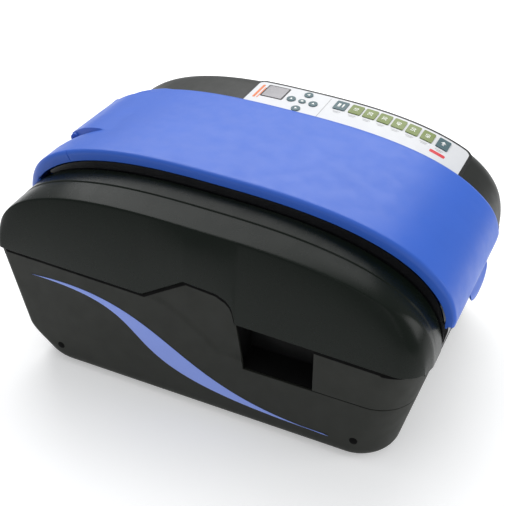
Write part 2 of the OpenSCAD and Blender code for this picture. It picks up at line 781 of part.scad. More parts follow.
module control_board() color([0.1, 0.4, 0.2]) {
    translate([-30, 80, 20]) cube([150, 1.6, 88]);
    for (x = [-20, 50, 110]) translate([x - 4, 80 - 3, deck_z]) cube([8, 3, 24]);
    for (i = [0:3]) translate([-16 + i * 34, 81.6, 40 + 12 * (i % 2)]) cube([20, 9, 24]);
}

inlet_x = -150;
inlet_z = 42;
switch_x = -108;

module inlet_hole(gap) {
    translate([inlet_x - 14 - gap, rear_y - 20, inlet_z - 12 - gap]) cube([28 + 2 * gap, 40, 24 + 2 * gap]);
}

module switch_hole(gap) {
    translate([switch_x - 7 - gap, rear_y - 20, inlet_z - 11 - gap]) cube([14 + 2 * gap, 40, 22 + 2 * gap]);
}

module power_inlet() color([0.06, 0.06, 0.06])
    difference() {
        union() {
            translate([inlet_x - 14, rear_y - 31, inlet_z - 12]) cube([28, 28, 24]);
            translate([inlet_x - 17, rear_y - 3, inlet_z - 15]) cube([34, 2, 30]);
        }
        translate([inlet_x - 11, rear_y - 24, inlet_z - 8]) cube([22, 40, 16]);
    }

rocker_r = 7;
rocker_w = 10;
rocker_y = rear_y - 6;

module rod_x(r, w) {
    translate([switch_x - w / 2, rocker_y, inlet_z]) rotate([0, 90, 0]) cylinder(r = r, h = w);
}

// The rocker is a drum whose outer side is cut to two shallow faces.
module rocker_switch() color([0.08, 0.08, 0.08])
    difference() {
        rod_x(rocker_r, rocker_w);
        for (s = [-1, 1]) translate([switch_x, rocker_y + rocker_r - 2.6, inlet_z])
            rotate([s * 12, 0, 0]) translate([-rocker_w, 0, s > 0 ? -20 : 0]) cube([2 * rocker_w, 10, 20]);
    }

module switch_housing() color([0.05, 0.05, 0.05])
    difference() {
        union() {
            translate([switch_x - 7, rear_y - 22, inlet_z - 11]) cube([14, 19, 22]);
            translate([switch_x - 9, rear_y - 3, inlet_z - 13]) cube([18, 1.5, 26]);
        }
        rod_x(rocker_r + 0.3, rocker_w + 0.8);
        translate([switch_x - rocker_w / 2 - 0.4, rocker_y, inlet_z - rocker_r - 0.3])
            cube([rocker_w + 0.8, 20, 2 * rocker_r + 0.6]);
    }

// ---- assembly ----------------------------------------------------------------------------------

base_shell();
chassis_plate();
rubber_feet();
panel_screws();
swoosh_inlay();
recess_liner();
corner_panel();
side_cover();
near_side_wall();
far_side_wall();
rear_panel();
front_panel();
hinge_bulkhead();
hinge_pins();
top_cover();
control_housing();
keypad_plate();
display_window();
display_module();
key_membrane();
key_up();
key_down();
key_left();
key_right();
key_enter();
key_double();
for (i = [1:6]) key_length(i);
key_repeat();
tape_roll();
roll_core();
roll_cradle();
cradle_roller_back();
cradle_roller_front();
feed_roller();
feed_pulley();
pressure_roller();
drive_motor();
motor_pulley();
drive_belt();
fixed_blade();
shear_blade();
cutter_solenoid();
water_tank();
water_brush();
heater_plate();
water_bottle();
bottle_cap();
outlet_guide();
power_supply();
control_board();
power_inlet();
switch_housing();
rocker_switch();
cover_buffer();
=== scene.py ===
"""Looks of a bench-top dispenser for gummed paper tape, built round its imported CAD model.

X runs along the machine with the operator's end at +X, Y runs across it with the keypad on
the +Y side, and Z is up. Shapes are worked out in millimetres as arrays of points, and
become metres when their meshes are made.
"""

import json
import math

import bmesh
import bpy
import numpy as np
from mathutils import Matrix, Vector


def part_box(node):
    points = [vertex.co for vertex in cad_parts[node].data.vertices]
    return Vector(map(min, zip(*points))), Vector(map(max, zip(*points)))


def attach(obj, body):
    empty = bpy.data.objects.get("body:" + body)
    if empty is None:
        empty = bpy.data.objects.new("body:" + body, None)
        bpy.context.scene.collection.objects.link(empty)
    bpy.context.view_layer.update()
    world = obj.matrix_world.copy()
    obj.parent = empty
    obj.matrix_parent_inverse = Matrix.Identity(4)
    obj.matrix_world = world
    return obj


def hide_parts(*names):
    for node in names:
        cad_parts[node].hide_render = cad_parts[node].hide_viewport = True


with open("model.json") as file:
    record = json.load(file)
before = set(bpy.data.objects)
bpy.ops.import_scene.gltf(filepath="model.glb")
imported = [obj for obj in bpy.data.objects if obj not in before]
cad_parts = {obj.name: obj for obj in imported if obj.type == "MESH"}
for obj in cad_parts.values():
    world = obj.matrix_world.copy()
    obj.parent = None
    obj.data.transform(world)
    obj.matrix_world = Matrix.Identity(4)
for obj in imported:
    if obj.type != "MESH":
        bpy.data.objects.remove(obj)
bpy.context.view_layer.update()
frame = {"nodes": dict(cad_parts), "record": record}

MM = 0.001


def node_box(node):
    """Lowest and highest corner of a CAD node, in millimetres."""
    return [np.array(corner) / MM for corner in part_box(node)]


cover_low, cover_high = node_box("top_cover")
side_low, side_high = node_box("side_cover")
base_low, base_high = node_box("base_shell")
house_low, house_high = node_box("control_housing")
wall_low, wall_high = node_box("near_side_wall")

# ---- driving sizes of the body, in millimetres ----

MIDDLE = -5.0  # the arched covers are centred here
FOOT_MIDDLE = -3.5  # the base is centred here
LEAN = 0.03  # fall of the upper body towards the operator, per millimetre
SQUARENESS = 2.65  # of the arched outline, where 2 is an ellipse
FOOT = base_low[2]  # underside of the base
FOOT_HALF = 200.0  # half length of the base at its underside
DRAFT = math.tan(math.radians(13.4))  # slope of the body's ends
CORNER = 40.0  # radius of the upright corners
SEAM = 130.5  # height of the base's upper edge, at mid length
WALL = 3.0  # thickness of the shells
ARCH_RISE = 103.0
COVER_TOP = 253.0
COVER_BACK, COVER_FRONT = MIDDLE - cover_low[0], 240.0
COVER_BACK_Z, COVER_FRONT_Z = 166.0, 152.0
EDGE = 8.0  # width of the lip that the cover turns down
HOUSE_TOP = 233.0
HOUSE_HALF = MIDDLE - house_low[0]
NEAR, FAR = base_low[1], base_high[1]
RECESS_Z, RECESS_X = 75.0, 120.0  # floor of the near side's recess, and its end towards the operator
SOFT = 0.9  # width over which a small upright side eases in
CREASE_ANGLE = math.radians(38)  # faces that meet at more than this look sharp


def seam_at(x):
    """Height of the seam between the base and the upper covers, which falls towards the operator."""
    return SEAM - LEAN * (x - MIDDLE)


def smooth(v):
    """Eases from 0 to 1 as v does."""
    v = np.clip(v, 0, 1)
    return v * v * (3 - 2 * v)


def arch(t, top, rise, back, front, power=SQUARENESS):
    """Point of an arched outline at angle t, 0 at the hinge end and 180 at the operator's end.

    The cosine of t gives the place along the machine and the sine the height, each raised
    to two over the squareness, and the outline leans down towards the operator.
    """
    c = -np.cos(np.radians(t))
    s = np.clip(np.sin(np.radians(t)), 0, 1)
    along = np.sign(c) * np.abs(c) ** (2 / power) * np.where(c < 0, back, front)
    return MIDDLE + along, top - rise + rise * s ** (2 / power) - LEAN * along


def cut_angles(share, low_back, low_front, *outline):
    """Angles of an arch that is cut off at a height at each end, spread by share from 0 to 1."""
    t = np.linspace(0, 90, 2000)
    _, rising = arch(t, *outline)
    _, falling = arch(180 - t, *outline)
    first = np.interp(low_back, rising, t)
    last = 180 - np.interp(low_front, falling, t)
    return first + (last - first) * share


# ---- making meshes ----

bodies = frame["record"]["behaviour"]["bodies"]
body_of_node = {node: body for body, nodes in bodies.items() for node in nodes}


def make_piece(name, points, faces, finish, body, stands_for=(), slot=None, heart=(0, 0, 0.1)):
    """Make one smooth piece from points in millimetres, facing away from the point heart."""
    mesh = bpy.data.meshes.new(name)
    points = np.asarray(points, float).reshape(-1, 3) * MM
    mesh.from_pydata(points.tolist(), [], faces)
    bm = bmesh.new()
    bm.from_mesh(mesh)
    bmesh.ops.remove_doubles(bm, verts=bm.verts, dist=1e-6)
    bmesh.ops.dissolve_degenerate(bm, dist=1e-7, edges=bm.edges)
    bmesh.ops.recalc_face_normals(bm, faces=bm.faces)
    outward = sum(f.calc_area() * f.normal.dot(f.calc_center_median() - Vector(heart)) for f in bm.faces)
    if outward < 0:
        bmesh.ops.reverse_faces(bm, faces=bm.faces)
    weight = bm.edges.layers.float.new("bevel_weight_edge")
    for edge in bm.edges:
        edge[weight] = 1.0 if edge.is_boundary else 0.0
    bm.to_mesh(mesh)
    bm.free()
    mesh.shade_smooth()
    mesh.set_sharp_from_angle(angle=CREASE_ANGLE)
    piece = bpy.data.objects.new(name, mesh)
    bpy.context.scene.collection.objects.link(piece)
    mesh.materials.append(finish)
    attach(piece, body)
    if stands_for:
        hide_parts(*stands_for)
    return piece


def grid_faces(rows, columns, round_columns=False):
    """Faces of a grid of points; round_columns joins the last column to the first."""
    last = columns if round_columns else columns - 1
    a = (np.arange(rows - 1)[:, None] * columns + np.arange(last)[None]).ravel()
    b = (np.arange(rows - 1)[:, None] * columns + (np.arange(last)[None] + 1) % columns).ravel()
    return np.stack([a, b, b + columns, a + columns], 1).tolist()


def sheet_piece(name, grid, finish, body, wall=0.0, rim=0.5, round_columns=False, **more):
    """A piece from a grid of points; wall thickens it inwards and rim rounds its free edges."""
    rows, columns = grid.shape[:2]
    piece = make_piece(name, grid, grid_faces(rows, columns, round_columns), finish, body, **more)
    if wall:
        thick = piece.modifiers.new("wall", "SOLIDIFY")
        thick.thickness, thick.offset, thick.use_even_offset = wall * MM, -1, False
        edge = piece.modifiers.new("rim", "BEVEL")
        edge.limit_method, edge.width, edge.segments = "WEIGHT", rim * MM, 3
        edge.use_clamp_overlap, edge.harden_normals = False, True
    return piece


def cut_window(piece, low, high):
    """Cut a box-shaped window, given by its two corners in millimetres, through a finished piece."""
    (x0, y0, z0), (x1, y1, z1) = low, high
    corners = [(x * MM, y * MM, z * MM) for x in (x0, x1) for y in (y0, y1) for z in (z0, z1)]
    mesh = bpy.data.meshes.new("window")
    mesh.from_pydata(corners, [],
                     [(0, 1, 3, 2), (4, 6, 7, 5), (0, 4, 5, 1), (2, 3, 7, 6), (0, 2, 6, 4), (1, 5, 7, 3)])
    cutter = bpy.data.objects.new("window", mesh)
    bpy.context.scene.collection.objects.link(cutter)
    hole = piece.modifiers.new("window", "BOOLEAN")
    hole.operation, hole.solver, hole.object = "DIFFERENCE", "EXACT", cutter
    graph = bpy.context.evaluated_depsgraph_get()
    cut = bpy.data.meshes.new_from_object(piece.evaluated_get(graph))
    old = piece.data
    piece.modifiers.clear()
    piece.data = cut
    bpy.data.objects.remove(cutter)
    bpy.data.meshes.remove(mesh)
    bpy.data.meshes.remove(old)


def lathe(name, profile, centre, finish, body, **more):
    """A profile of (radius, y) points carried round an axis that runs along Y through centre."""
    a = np.linspace(0, 2 * math.pi, 64, endpoint=False)
    radius, across = np.array(profile).T[:, :, None]
    grid = np.stack([radius * np.cos(a), across + 0 * a, radius * np.sin(a)], -1) + np.array(centre)
    heart = tuple(np.array(centre) * MM)
    return sheet_piece(name, grid, finish, body, round_columns=True, heart=heart, **more)


def plate(name, outline, y0, y1, finish, body, edge, **more):
    """A flat plate between y0 and y1 from an outline of (x, z) points; edge rounds its edges."""
    count = len(outline)
    flat = [[(x, y, z) for x, z in outline] for y in (y0, y1)]
    sides = [[i, (i + 1) % count, count + (i + 1) % count, count + i] for i in range(count)]
    faces = sides + [list(range(count)), list(range(2 * count - 1, count - 1, -1))]
    middle = np.mean(outline, 0)
    heart = (middle[0] * MM, (y0 + y1) / 2 * MM, middle[1] * MM)
    piece = make_piece(name, flat, faces, finish, body, heart=heart, **more)
    rounding = piece.modifiers.new("rim", "BEVEL")
    rounding.limit_method, rounding.angle_limit = "ANGLE", math.radians(60)
    rounding.width, rounding.segments, rounding.harden_normals = edge * MM, 3, True
    return piece


# ---- materials ----


def rgb(r, g, b):
    """A colour given as it looks on a screen, from 0 to 255, as linear light."""
    c = np.array([r, g, b]) / 255
    return (*np.where(c <= 0.04045, c / 12.92, ((c + 0.055) / 1.055) ** 2.4), 1)


def new_material(name):
    """A material with its own node tree, its shader and its object coordinates."""
    material = bpy.data.materials.new(name)
    material.use_nodes = True
    tree = material.node_tree
    return material, tree, tree.nodes["Principled BSDF"], tree.nodes.new("ShaderNodeTexCoord")


def noise(tree, source, scale, detail):
    """Noise on the given coordinates, at scale cycles to a metre and with detail octaves."""
    node = tree.nodes.new("ShaderNodeTexNoise")
    node.inputs["Scale"].default_value = scale
    node.inputs["Detail"].default_value = detail
    node.inputs["Roughness"].default_value = 0.55
    tree.links.new(source, node.inputs["Vector"])
    return node.outputs["Fac"]


def ramp(tree, value, stops):
    """Turns a value into a colour or grey by stops of (place, colour)."""
    node = tree.nodes.new("ShaderNodeValToRGB")
    elements = node.color_ramp.elements
    while len(elements) < len(stops):
        elements.new(0.5)
    for element, (place, colour) in zip(elements, stops):
        element.position, element.color = place, colour
    tree.links.new(value, node.inputs["Fac"])
    return node.outputs["Color"]


def grey(v):
    """A grey of value v, with full cover."""
    return (v, v, v, 1)


def bump(tree, shader, height, strength, distance=0.0002):
    """Drives the shader's normal by a height, whose whole range stands for distance in metres."""
    node = tree.nodes.new("ShaderNodeBump")
    node.inputs["Strength"].default_value = strength
    node.inputs["Distance"].default_value = distance
    tree.links.new(height, node.inputs["Height"])
    tree.links.new(node.outputs["Normal"], shader.inputs["Normal"])


def moulded(name, colour, rough=0.4, spread=0.06, grain=2600, depth=0.12, shade=0.06,
            specular=0.5, coat=0.0):
    """Moulded or painted finish: fine spark-eroded grain, cloudy gloss and a faint change of shade.

    The roughness wanders by spread about rough, and the colour by a share of shade.
    """
    material, tree, shader, place = new_material(name)
    spot = place.outputs["Object"]
    colour = np.array(colour)
    dark = (*np.clip(colour[:3] * (1 - shade), 0, 1), 1)
    pale = (*np.clip(colour[:3] * (1 + shade), 0, 1), 1)
    clouds = ramp(tree, noise(tree, spot, 22, 4), [(0.3, dark), (0.7, pale)])
    tree.links.new(clouds, shader.inputs["Base Color"])
    gloss = ramp(tree, noise(tree, spot, 60, 5), [(0.3, grey(rough - spread)), (0.7, grey(rough + spread))])
    tree.links.new(gloss, shader.inputs["Roughness"])
    bump(tree, shader, noise(tree, spot, grain, 2), depth, 0.0001)
    shader.inputs["Specular IOR Level"].default_value = specular
    shader.inputs["Coat Weight"].default_value = coat
    shader.inputs["Coat Roughness"].default_value = 0.1
    return material


def brushed(name, colour, rough, along):
    """Rolled or turned metal: fine lines drawn out along the axes of least scale, with smudges."""
    material, tree, shader, place = new_material(name)
    mapping = tree.nodes.new("ShaderNodeMapping")
    mapping.inputs["Scale"].default_value = along
    tree.links.new(place.outputs["Object"], mapping.inputs["Vector"])
    lines = noise(tree, mapping.outputs["Vector"], 420, 4)
    c = np.array(colour)
    shades = ramp(tree, lines, [(0.3, (*c[:3] * 0.82, 1)), (0.7, (*np.clip(c[:3] * 1.1, 0, 1), 1))])
    tree.links.new(shades, shader.inputs["Base Color"])
    smudge = noise(tree, place.outputs["Object"], 35, 5)
    gloss = ramp(tree, smudge, [(0.3, grey(rough - 0.06)), (0.75, grey(rough + 0.14))])
    tree.links.new(gloss, shader.inputs["Roughness"])
    bump(tree, shader, lines, 0.18, 0.0001)
    shader.inputs["Metallic"].default_value = 1.0
    return material


BLUE = moulded("cover blue", rgb(42, 92, 192), rough=0.4, grain=1900, depth=0.06, shade=0.02, specular=0.4)
DARK = moulded("cover green black", rgb(12, 19, 13), rough=0.27, spread=0.03, grain=1300, depth=0.05,
               shade=0.08, specular=0.17)
BASE = moulded("base charcoal", rgb(30, 32, 27), rough=0.6, spread=0.05, grain=900, depth=0.35,
               shade=0.07, specular=0.3)
HOUSE = moulded("housing charcoal", rgb(26, 28, 24), rough=0.42, grain=1100, depth=0.2, shade=0.07,
                specular=0.26)
GLOSS = moulded("side wall black", rgb(17, 17, 19), rough=0.24, spread=0.04, grain=1500, depth=0.06,
                shade=0.1)
BLACK = moulded("black moulding", rgb(14, 14, 14), rough=0.5, grain=1400, depth=0.25, shade=0.12,
                specular=0.35)
# Near-black used as painted shade on the strips that stand for the seam's shadow, and as the colour of the
# panel screw heads.
SHADE_AND_SCREW_BLACK = moulded("painted seam shade and screw black", rgb(5, 5, 5), rough=0.85, grain=900, depth=0.1, shade=0.1, specular=0.1)
INLAY = moulded("inlay blue", rgb(128, 150, 226), rough=0.38, grain=1800, depth=0.06, shade=0.03)
FILM = moulded("keypad film", rgb(206, 207, 209), rough=0.38, grain=1600, depth=0.05, shade=0.015)
TEAL = moulded("key teal", rgb(20, 72, 80), rough=0.36, grain=1600, depth=0.06, shade=0.04)
OLIVE = moulded("key olive", rgb(98, 116, 16), rough=0.36, grain=1600, depth=0.06, shade=0.04)
GLASS = moulded("display glass", rgb(84, 80, 88), rough=0.16, spread=0.02, grain=900, depth=0.02,
                shade=0.05, coat=0.5)
INK_WHITE = moulded("print white", rgb(238, 240, 236), rough=0.45, grain=1600, depth=0.03, shade=0.02)
INK_GREY = moulded("print grey", rgb(150, 152, 152), rough=0.5, grain=1600, depth=0.03, shade=0.03)
INK_ORANGE = moulded("print orange", rgb(214, 110, 50), rough=0.45, grain=1600, depth=0.03, shade=0.03)
INK_RED = moulded("print red", rgb(205, 28, 44), rough=0.45, grain=1600, depth=0.03, shade=0.03)

# ---- hinged cover ----

SCOOP_END = -163.0  # where each hinge scoop runs out, towards the operator
SCOOP_WALLS = (-42.0, 38.0)  # upright sides of the near and the far scoop
SCOOP_LENGTH, SCOOP_DEPTH = 42.0, 5.5  # over which a scoop deepens, and its greatest depth
BOSS = (-203.4, 0, 217.6)  # centre of the hinge bosses
# Radius, and depth from the boss's outer end, of a boss with a pin head inside a washer.
BOSS_PROFILE = [(0, 9), (1.5, 9), (1.5, 0.3), (1.9, 0), (3.3, 0), (3.5, 0.5), (4.2, 0.5), (4.4, 0.1),
                (5.0, 0.1), (5.4, 0.5), (5.4, 9), (0, 9)]
GROOVE = 0.252  # where a fine joint crosses the near lip, as a share of the arch
GROOVE_HALF, GROOVE_DEPTH = 0.0012, 0.9  # half its width, again as a share, and its depth
KNUCKLE_END = -208.0  # the raised skin drops away again past here
SLANT = 0.2  # of the upright sides of the scoops, seen from above
RAISED = 3.5  # the skin between the scoops stands this much proud near the hinge
KNUCKLE_DROP = 7.0  # how far it drops past the knuckles
CROWN = 4.0  # fall of the cover's top from its near edge to its far edge
CREASE = 4.2  # radius of the near crease at mid length
CREASE_SOFTER, CREASE_CRISPER = 9.0, 1.2  # more at the hinge end, less at the operator's end
FAR_CREASE = 3.0  # radius of the far crease
NEAR_LIP_DROP, FAR_LIP_DROP = 3.0, 9.0  # how far each lip hangs below the arch at its free edge
FLAT_END = 2.0  # how far the middle of the operator's end is drawn out
INNER = 20.0  # insets are measured towards an arch this much smaller
GRIP_Y, GRIP_HALF, GRIP_DROP = -15.0, 30.0, 17.0  # centre, half width and height of the grip


def scoop_depth(x, y, z):
    """How far the skin is sunk beside each hinge boss.

    The depth is greatest against an upright side and eases to nothing away from it. It
    grows from the scoop's point towards the hinge end, and fades again down the end face.
    """
    run = np.clip((SCOOP_END - x) / SCOOP_LENGTH, 0, 1)
    deep = SCOOP_DEPTH * run * smooth((z - 176) / 22)
    wide = 5 + 24 * run**0.8
    depth = 0 * x
    for wall, away in zip(SCOOP_WALLS, (-1, 1)):
        off = (y - wall) * away
        depth = np.maximum(depth, deep * np.clip(1 - off / wide, 0, 1) ** 1.4 * smooth(off / SOFT + 0.5))
    return depth


def hinged_cover():
    """The blue lid: an arch carried across the machine, with a turned-down lip along both sides.

    Rows run from the near lip's inner edge, up it, round its crease, over the top and down
    the far lip. Columns run along the arch. The crease is soft at the hinge end and crisper
    towards the operator. The operator's end is drawn out to an almost flat face.
    """
    by_groove = GROOVE + GROOVE_HALF * np.array([-2, -1, -0.5, 0, 0.5, 1, 2])
    share = np.unique(np.concatenate([np.linspace(0, 1, 230), by_groove]))
    none = 0 * share
    softer = CREASE_SOFTER * (1 - smooth(share / 0.2))
    radius = CREASE + softer - CREASE_CRISPER * smooth((share - 0.8) / 0.2)
    near, far = cover_low[1], cover_high[1]
    rows = []  # each is (y, inset, drop) along the columns
    for v in np.linspace(0, 1, 9):
        rows.append((near + none, EDGE + (radius - EDGE) * v, NEAR_LIP_DROP * (1 - v) + none))
    for b in np.radians(np.linspace(0, 90, 10))[1:]:
        rows.append((near + radius * (1 - math.cos(b)), radius * (1 - math.sin(b)), none))
    near_wall, far_wall = SCOOP_WALLS
    by_walls = np.concatenate([near_wall + 0.3 * np.arange(-3, 2), far_wall + 0.3 * np.arange(-2, 3)])
    for v in np.sort(np.concatenate([np.linspace(0, 1, 110)[1:-1], (by_walls - near) / (far - near)])):
        rows.append((near + radius + (far - FAR_CREASE - near - radius) * v, none, none))
    for b in np.radians(np.linspace(0, 90, 6))[1:]:
        in_from_far = FAR_CREASE * (1 - math.sin(b))
        rows.append((far - in_from_far + none, FAR_CREASE * (1 - math.cos(b)) + none, none))
    for v in np.linspace(0, 1, 6)[1:]:
        rows.append((far + none, FAR_CREASE + (EDGE - FAR_CREASE) * v + none, FAR_LIP_DROP * v + none))
    outline = (COVER_TOP, ARCH_RISE, COVER_BACK, COVER_FRONT)
    t = cut_angles(share, COVER_BACK_Z, COVER_FRONT_Z, *outline)
    x0, z0 = arch(t, *outline)
    x1, z1 = arch(t, COVER_TOP - INNER, ARCH_RISE, COVER_BACK - INNER, COVER_FRONT - INNER)
    ease = np.sin(np.radians(t)) ** 0.5
    lowest = np.where(t < 90, COVER_BACK_Z, COVER_FRONT_Z)
    in_groove = np.clip(1 - np.abs(share - GROOVE) / GROOVE_HALF, 0, 1)
    grid = []
    for y, inset, drop in rows:
        crown = CROWN * np.clip((y - near) / (far - near), 0, 1) ** 1.5
        x = x0 + (x1 - x0) * inset / INNER
        z = np.maximum(z0 + (z1 - z0) * inset / INNER - (drop + crown) * ease, lowest)
        at_end = smooth((x - 205) / 24) * smooth((z - 150) / 12) * (1 - smooth((z - 200) / 25))
        x = x + FLAT_END * at_end
        past_near, past_far = [smooth((y - wall) / SOFT + 0.5) for wall in SCOOP_WALLS]
        between = past_near * (1 - past_far)
        sunk = scoop_depth(x, y, z)
        sunk = sunk - RAISED * between * smooth((-150 - x) / 45) * smooth((z - 186) / 24)
        sunk = sunk + KNUCKLE_DROP * between * smooth((KNUCKLE_END - x) / 3.5) * smooth((z - 176) / 12)
        steep = smooth((-185 - x) / 40)
        x = x + sunk * 0.75 * steep
        z = z - sunk * (1 - 0.45 * steep)
        open_out = (2 + SLANT * np.clip(x + 205, -8, 50)) * smooth((-138 - x) / 15)
        for wall, away in zip(SCOOP_WALLS, (-1, 1)):
            y = y + away * open_out * np.exp(-(((y - wall) / 14) ** 2))
        groove = GROOVE_DEPTH * in_groove * (inset > 0.5) * (y < 0)
        grid.append(np.stack([x, y + groove, z], -1))
    return sheet_piece("hinged_cover", np.array(grid), BLUE, "lid", wall=WALL, rim=0.7,
                       stands_for=["top_cover"], slot="blue_cover")


def finger_lip():
    """The grip below the cover's front edge: a half-round tab that swells outwards and turns under."""
    across = np.radians(np.linspace(0, 180, 60))
    down = np.linspace(0, 1, 22)[:, None]
    y = GRIP_Y - GRIP_HALF * np.cos(across) + 0 * down
    low = GRIP_DROP * np.sin(across) ** 0.8
    z = COVER_FRONT_Z + 1.5 - (low + 1.5) * down
    swell = np.sin(across) ** 0.5 * smooth(down * 1.5)
    x = MIDDLE + COVER_FRONT - 0.6 + 3.4 * swell - 0.9 * smooth((down - 0.86) / 0.14)
    grid = np.stack([x + 0 * y, y, z], -1)
    return sheet_piece("finger_lip", grid, BLUE, "lid", wall=2.6, rim=0.5, slot="blue_cover",
                       heart=(0.15, 0.006, 0.15))


def hinge_bosses():
    """A round boss at the upright side of each scoop, which stands 5 mm out of it."""
    for number, (wall, out) in enumerate(zip(SCOOP_WALLS, (-1, 1))):
        outer = wall + out * 5.0
        ring = [(radius, outer - out * depth) for radius, depth in BOSS_PROFILE]
        lathe(f"hinge_boss_{number + 1}", ring, BOSS, BLUE, "lid", slot="blue_cover")


hinged_cover()
finger_lip()
hinge_bosses()

# ---- side cover ----

SIDE_TOP, SIDE_RISE, SIDE_HALF = 232.0, 110.0, 232.0
SIDE_INNER, SIDE_FACE = side_high[1], side_low[1]
STEP_Y, STEP = -121.0, 0.9  # a small step runs along the shoulder here, this high
RIDGE_Y, RIDGE_TOP, RIDGE_RISE, RIDGE_POWER = -147.0, 219.0, 90.0, 2.8
RIDGE_BACK = 230.5  # half length of the ridge
RIDGE_BEND = 4.0  # how far the ridge bends in or out at its two ends
BROAD = 30.0  # radius of the cover's corner at the operator's end
SHARP = 9.0  # radius of the cover's corner at the hinge end
SEAM_GAP = 1.7  # between the side cover and the base
TAB = np.array([[-61, 132.2], [-13, 162.5], [19, 159.5], [29, 154.6],
                [33.5, 150], [36, 144.5], [38, 134.5]])  # outline of the base's tab, as (x, z)


def tab_edge(x, gap):
    """Lower edge of the side cover: the seam, and over the base's tab the tab's outline."""
    xs = TAB[:, 0] + np.where(TAB[:, 0] < 0, -gap * 0.6, gap)
    over = np.interp(x, xs, TAB[:, 1] + gap, left=0, right=0)
    return np.maximum(seam_at(x) + gap, over)


def side_shell():
    """The dark near-side cover: a shoulder of arched sections, a rounded ridge, and a bulging face.

    Rows of the shoulder are arches whose top, rise and half length change with depth. The
    ridge is a curve drawn from shoulder to face towards the line where they would meet.
    Each column of the face then runs straight down in front view from the ridge to the
    seam, while it swells outwards to the plan outline. That outline is broadly rounded at
    the operator's end and almost sharp at the hinge end.
    """
    u = np.sin(np.radians(np.linspace(-90, 90, 190)))
    by_tab = np.concatenate([TAB[:, 0] - 0.3, TAB[:, 0] + 0.6, [-62, 39.0, 39.6]])
    u = np.unique(np.concatenate([u, (by_tab - MIDDLE) / RIDGE_BACK]))
    t = np.degrees(np.arccos(-np.sign(u) * np.abs(u) ** (SQUARENESS / 2)))
    ridge_y = RIDGE_Y + RIDGE_BEND * u**3

    def section(v):
        """An arch of the shoulder, v from 0 at the inner edge to 1 at the ridge."""
        y = SIDE_INNER + (ridge_y - SIDE_INNER) * v
        back = SIDE_HALF + (RIDGE_BACK - SIDE_HALF) * v**3
        round_off = np.clip((SIDE_FACE + BROAD - y[-1]) / BROAD, 0, 1)
        front = SIDE_HALF - BROAD * (1 - math.sqrt(1 - round_off**2))
        step = STEP * smooth((STEP_Y - y) / SOFT + 0.5)
        top = SIDE_TOP - (SIDE_TOP - RIDGE_TOP - STEP) * v
        rise = SIDE_RISE + (RIDGE_RISE - SIDE_RISE) * v
        power = SQUARENESS + (RIDGE_POWER - SQUARENESS) * smooth(v)
        outline = (top, rise, back, front, power)
        angles = cut_angles(t / 180, seam_at(MIDDLE - back), seam_at(MIDDLE + front), *outline)
        x, z = arch(angles, *outline)
        return np.stack([x, y, z - step * np.sin(np.radians(t)) ** 0.5], -1)

    fine = np.linspace(0, 1, 80)
    stack = np.array([section(v) for v in fine])

    def shoulder(v):
        """A row of the shoulder whose depth v is different in each column."""
        place = v * (len(fine) - 1)
        low = np.clip(place.astype(int), 0, len(fine) - 2)
        part = (place - low)[:, None]
        each = np.arange(len(u))
        return stack[low, each] * (1 - part) + stack[low + 1, each] * part

    melt = smooth((u - 0.78) / 0.22)  # the ridge melts away towards the operator's end
    above, below = 0.03 + 0.34 * melt, 0.018 + 0.42 * melt
    ridge = section(1.0)
    foot_x = ridge[:, 0]
    front_part = np.clip((foot_x - MIDDLE - SIDE_HALF + BROAD) / BROAD, 0, 1)
    back_part = np.clip((MIDDLE - foot_x - SIDE_HALF + SHARP) / SHARP, 0, 1)
    foot_y = SIDE_FACE + BROAD * (1 - np.sqrt(1 - front_part**2))
    foot_y = foot_y + SHARP * (1 - np.sqrt(1 - back_part**2))
    foot_z = np.minimum(tab_edge(foot_x, SEAM_GAP), ridge[:, 2])

    def face(v):
        """A row of the face, v from 0 at the ridge to 1 at the seam."""
        out = 1 - (1 - v) ** 2.2
        return np.stack([foot_x, ridge[:, 1] + (np.minimum(foot_y, ridge[:, 1]) - ridge[:, 1]) * out,
                         ridge[:, 2] + (foot_z - ridge[:, 2]) * v], -1)

    steps = np.concatenate([np.linspace(0, 0.40, 8), np.linspace(0.41, 0.53, 21), np.linspace(0.56, 1, 12)])
    rows = [shoulder(v * (1 - above)) for v in steps]
    for b in np.linspace(0, 1, 9)[1:]:
        rows.append((1 - b) ** 2 * shoulder(1 - above) + 2 * b * (1 - b) * ridge + b * b * face(below))
    rows += [face(below + (1 - below) * v) for v in np.linspace(0, 1, 44)[1:]]
    return sheet_piece("side_cover_shell", np.array(rows), DARK, "case", wall=WALL, rim=0.6,
                       stands_for=["side_cover"], slot="dark_cover", heart=(0, -0.06, 0.1))


side_shell()

# ---- base ----

CORNER_COLUMNS = 24  # columns round each upright corner
SPREAD, SPREAD_FROM, SPREAD_OVER = 34.0, 46.0, 43.0  # growth of the near corner's radius, by height


def near_radius(z):
    """Radius of the base's near corner at the hinge end: small, and growing near the floor."""
    return SHARP + SPREAD * smooth((SPREAD_FROM - z) / SPREAD_OVER)


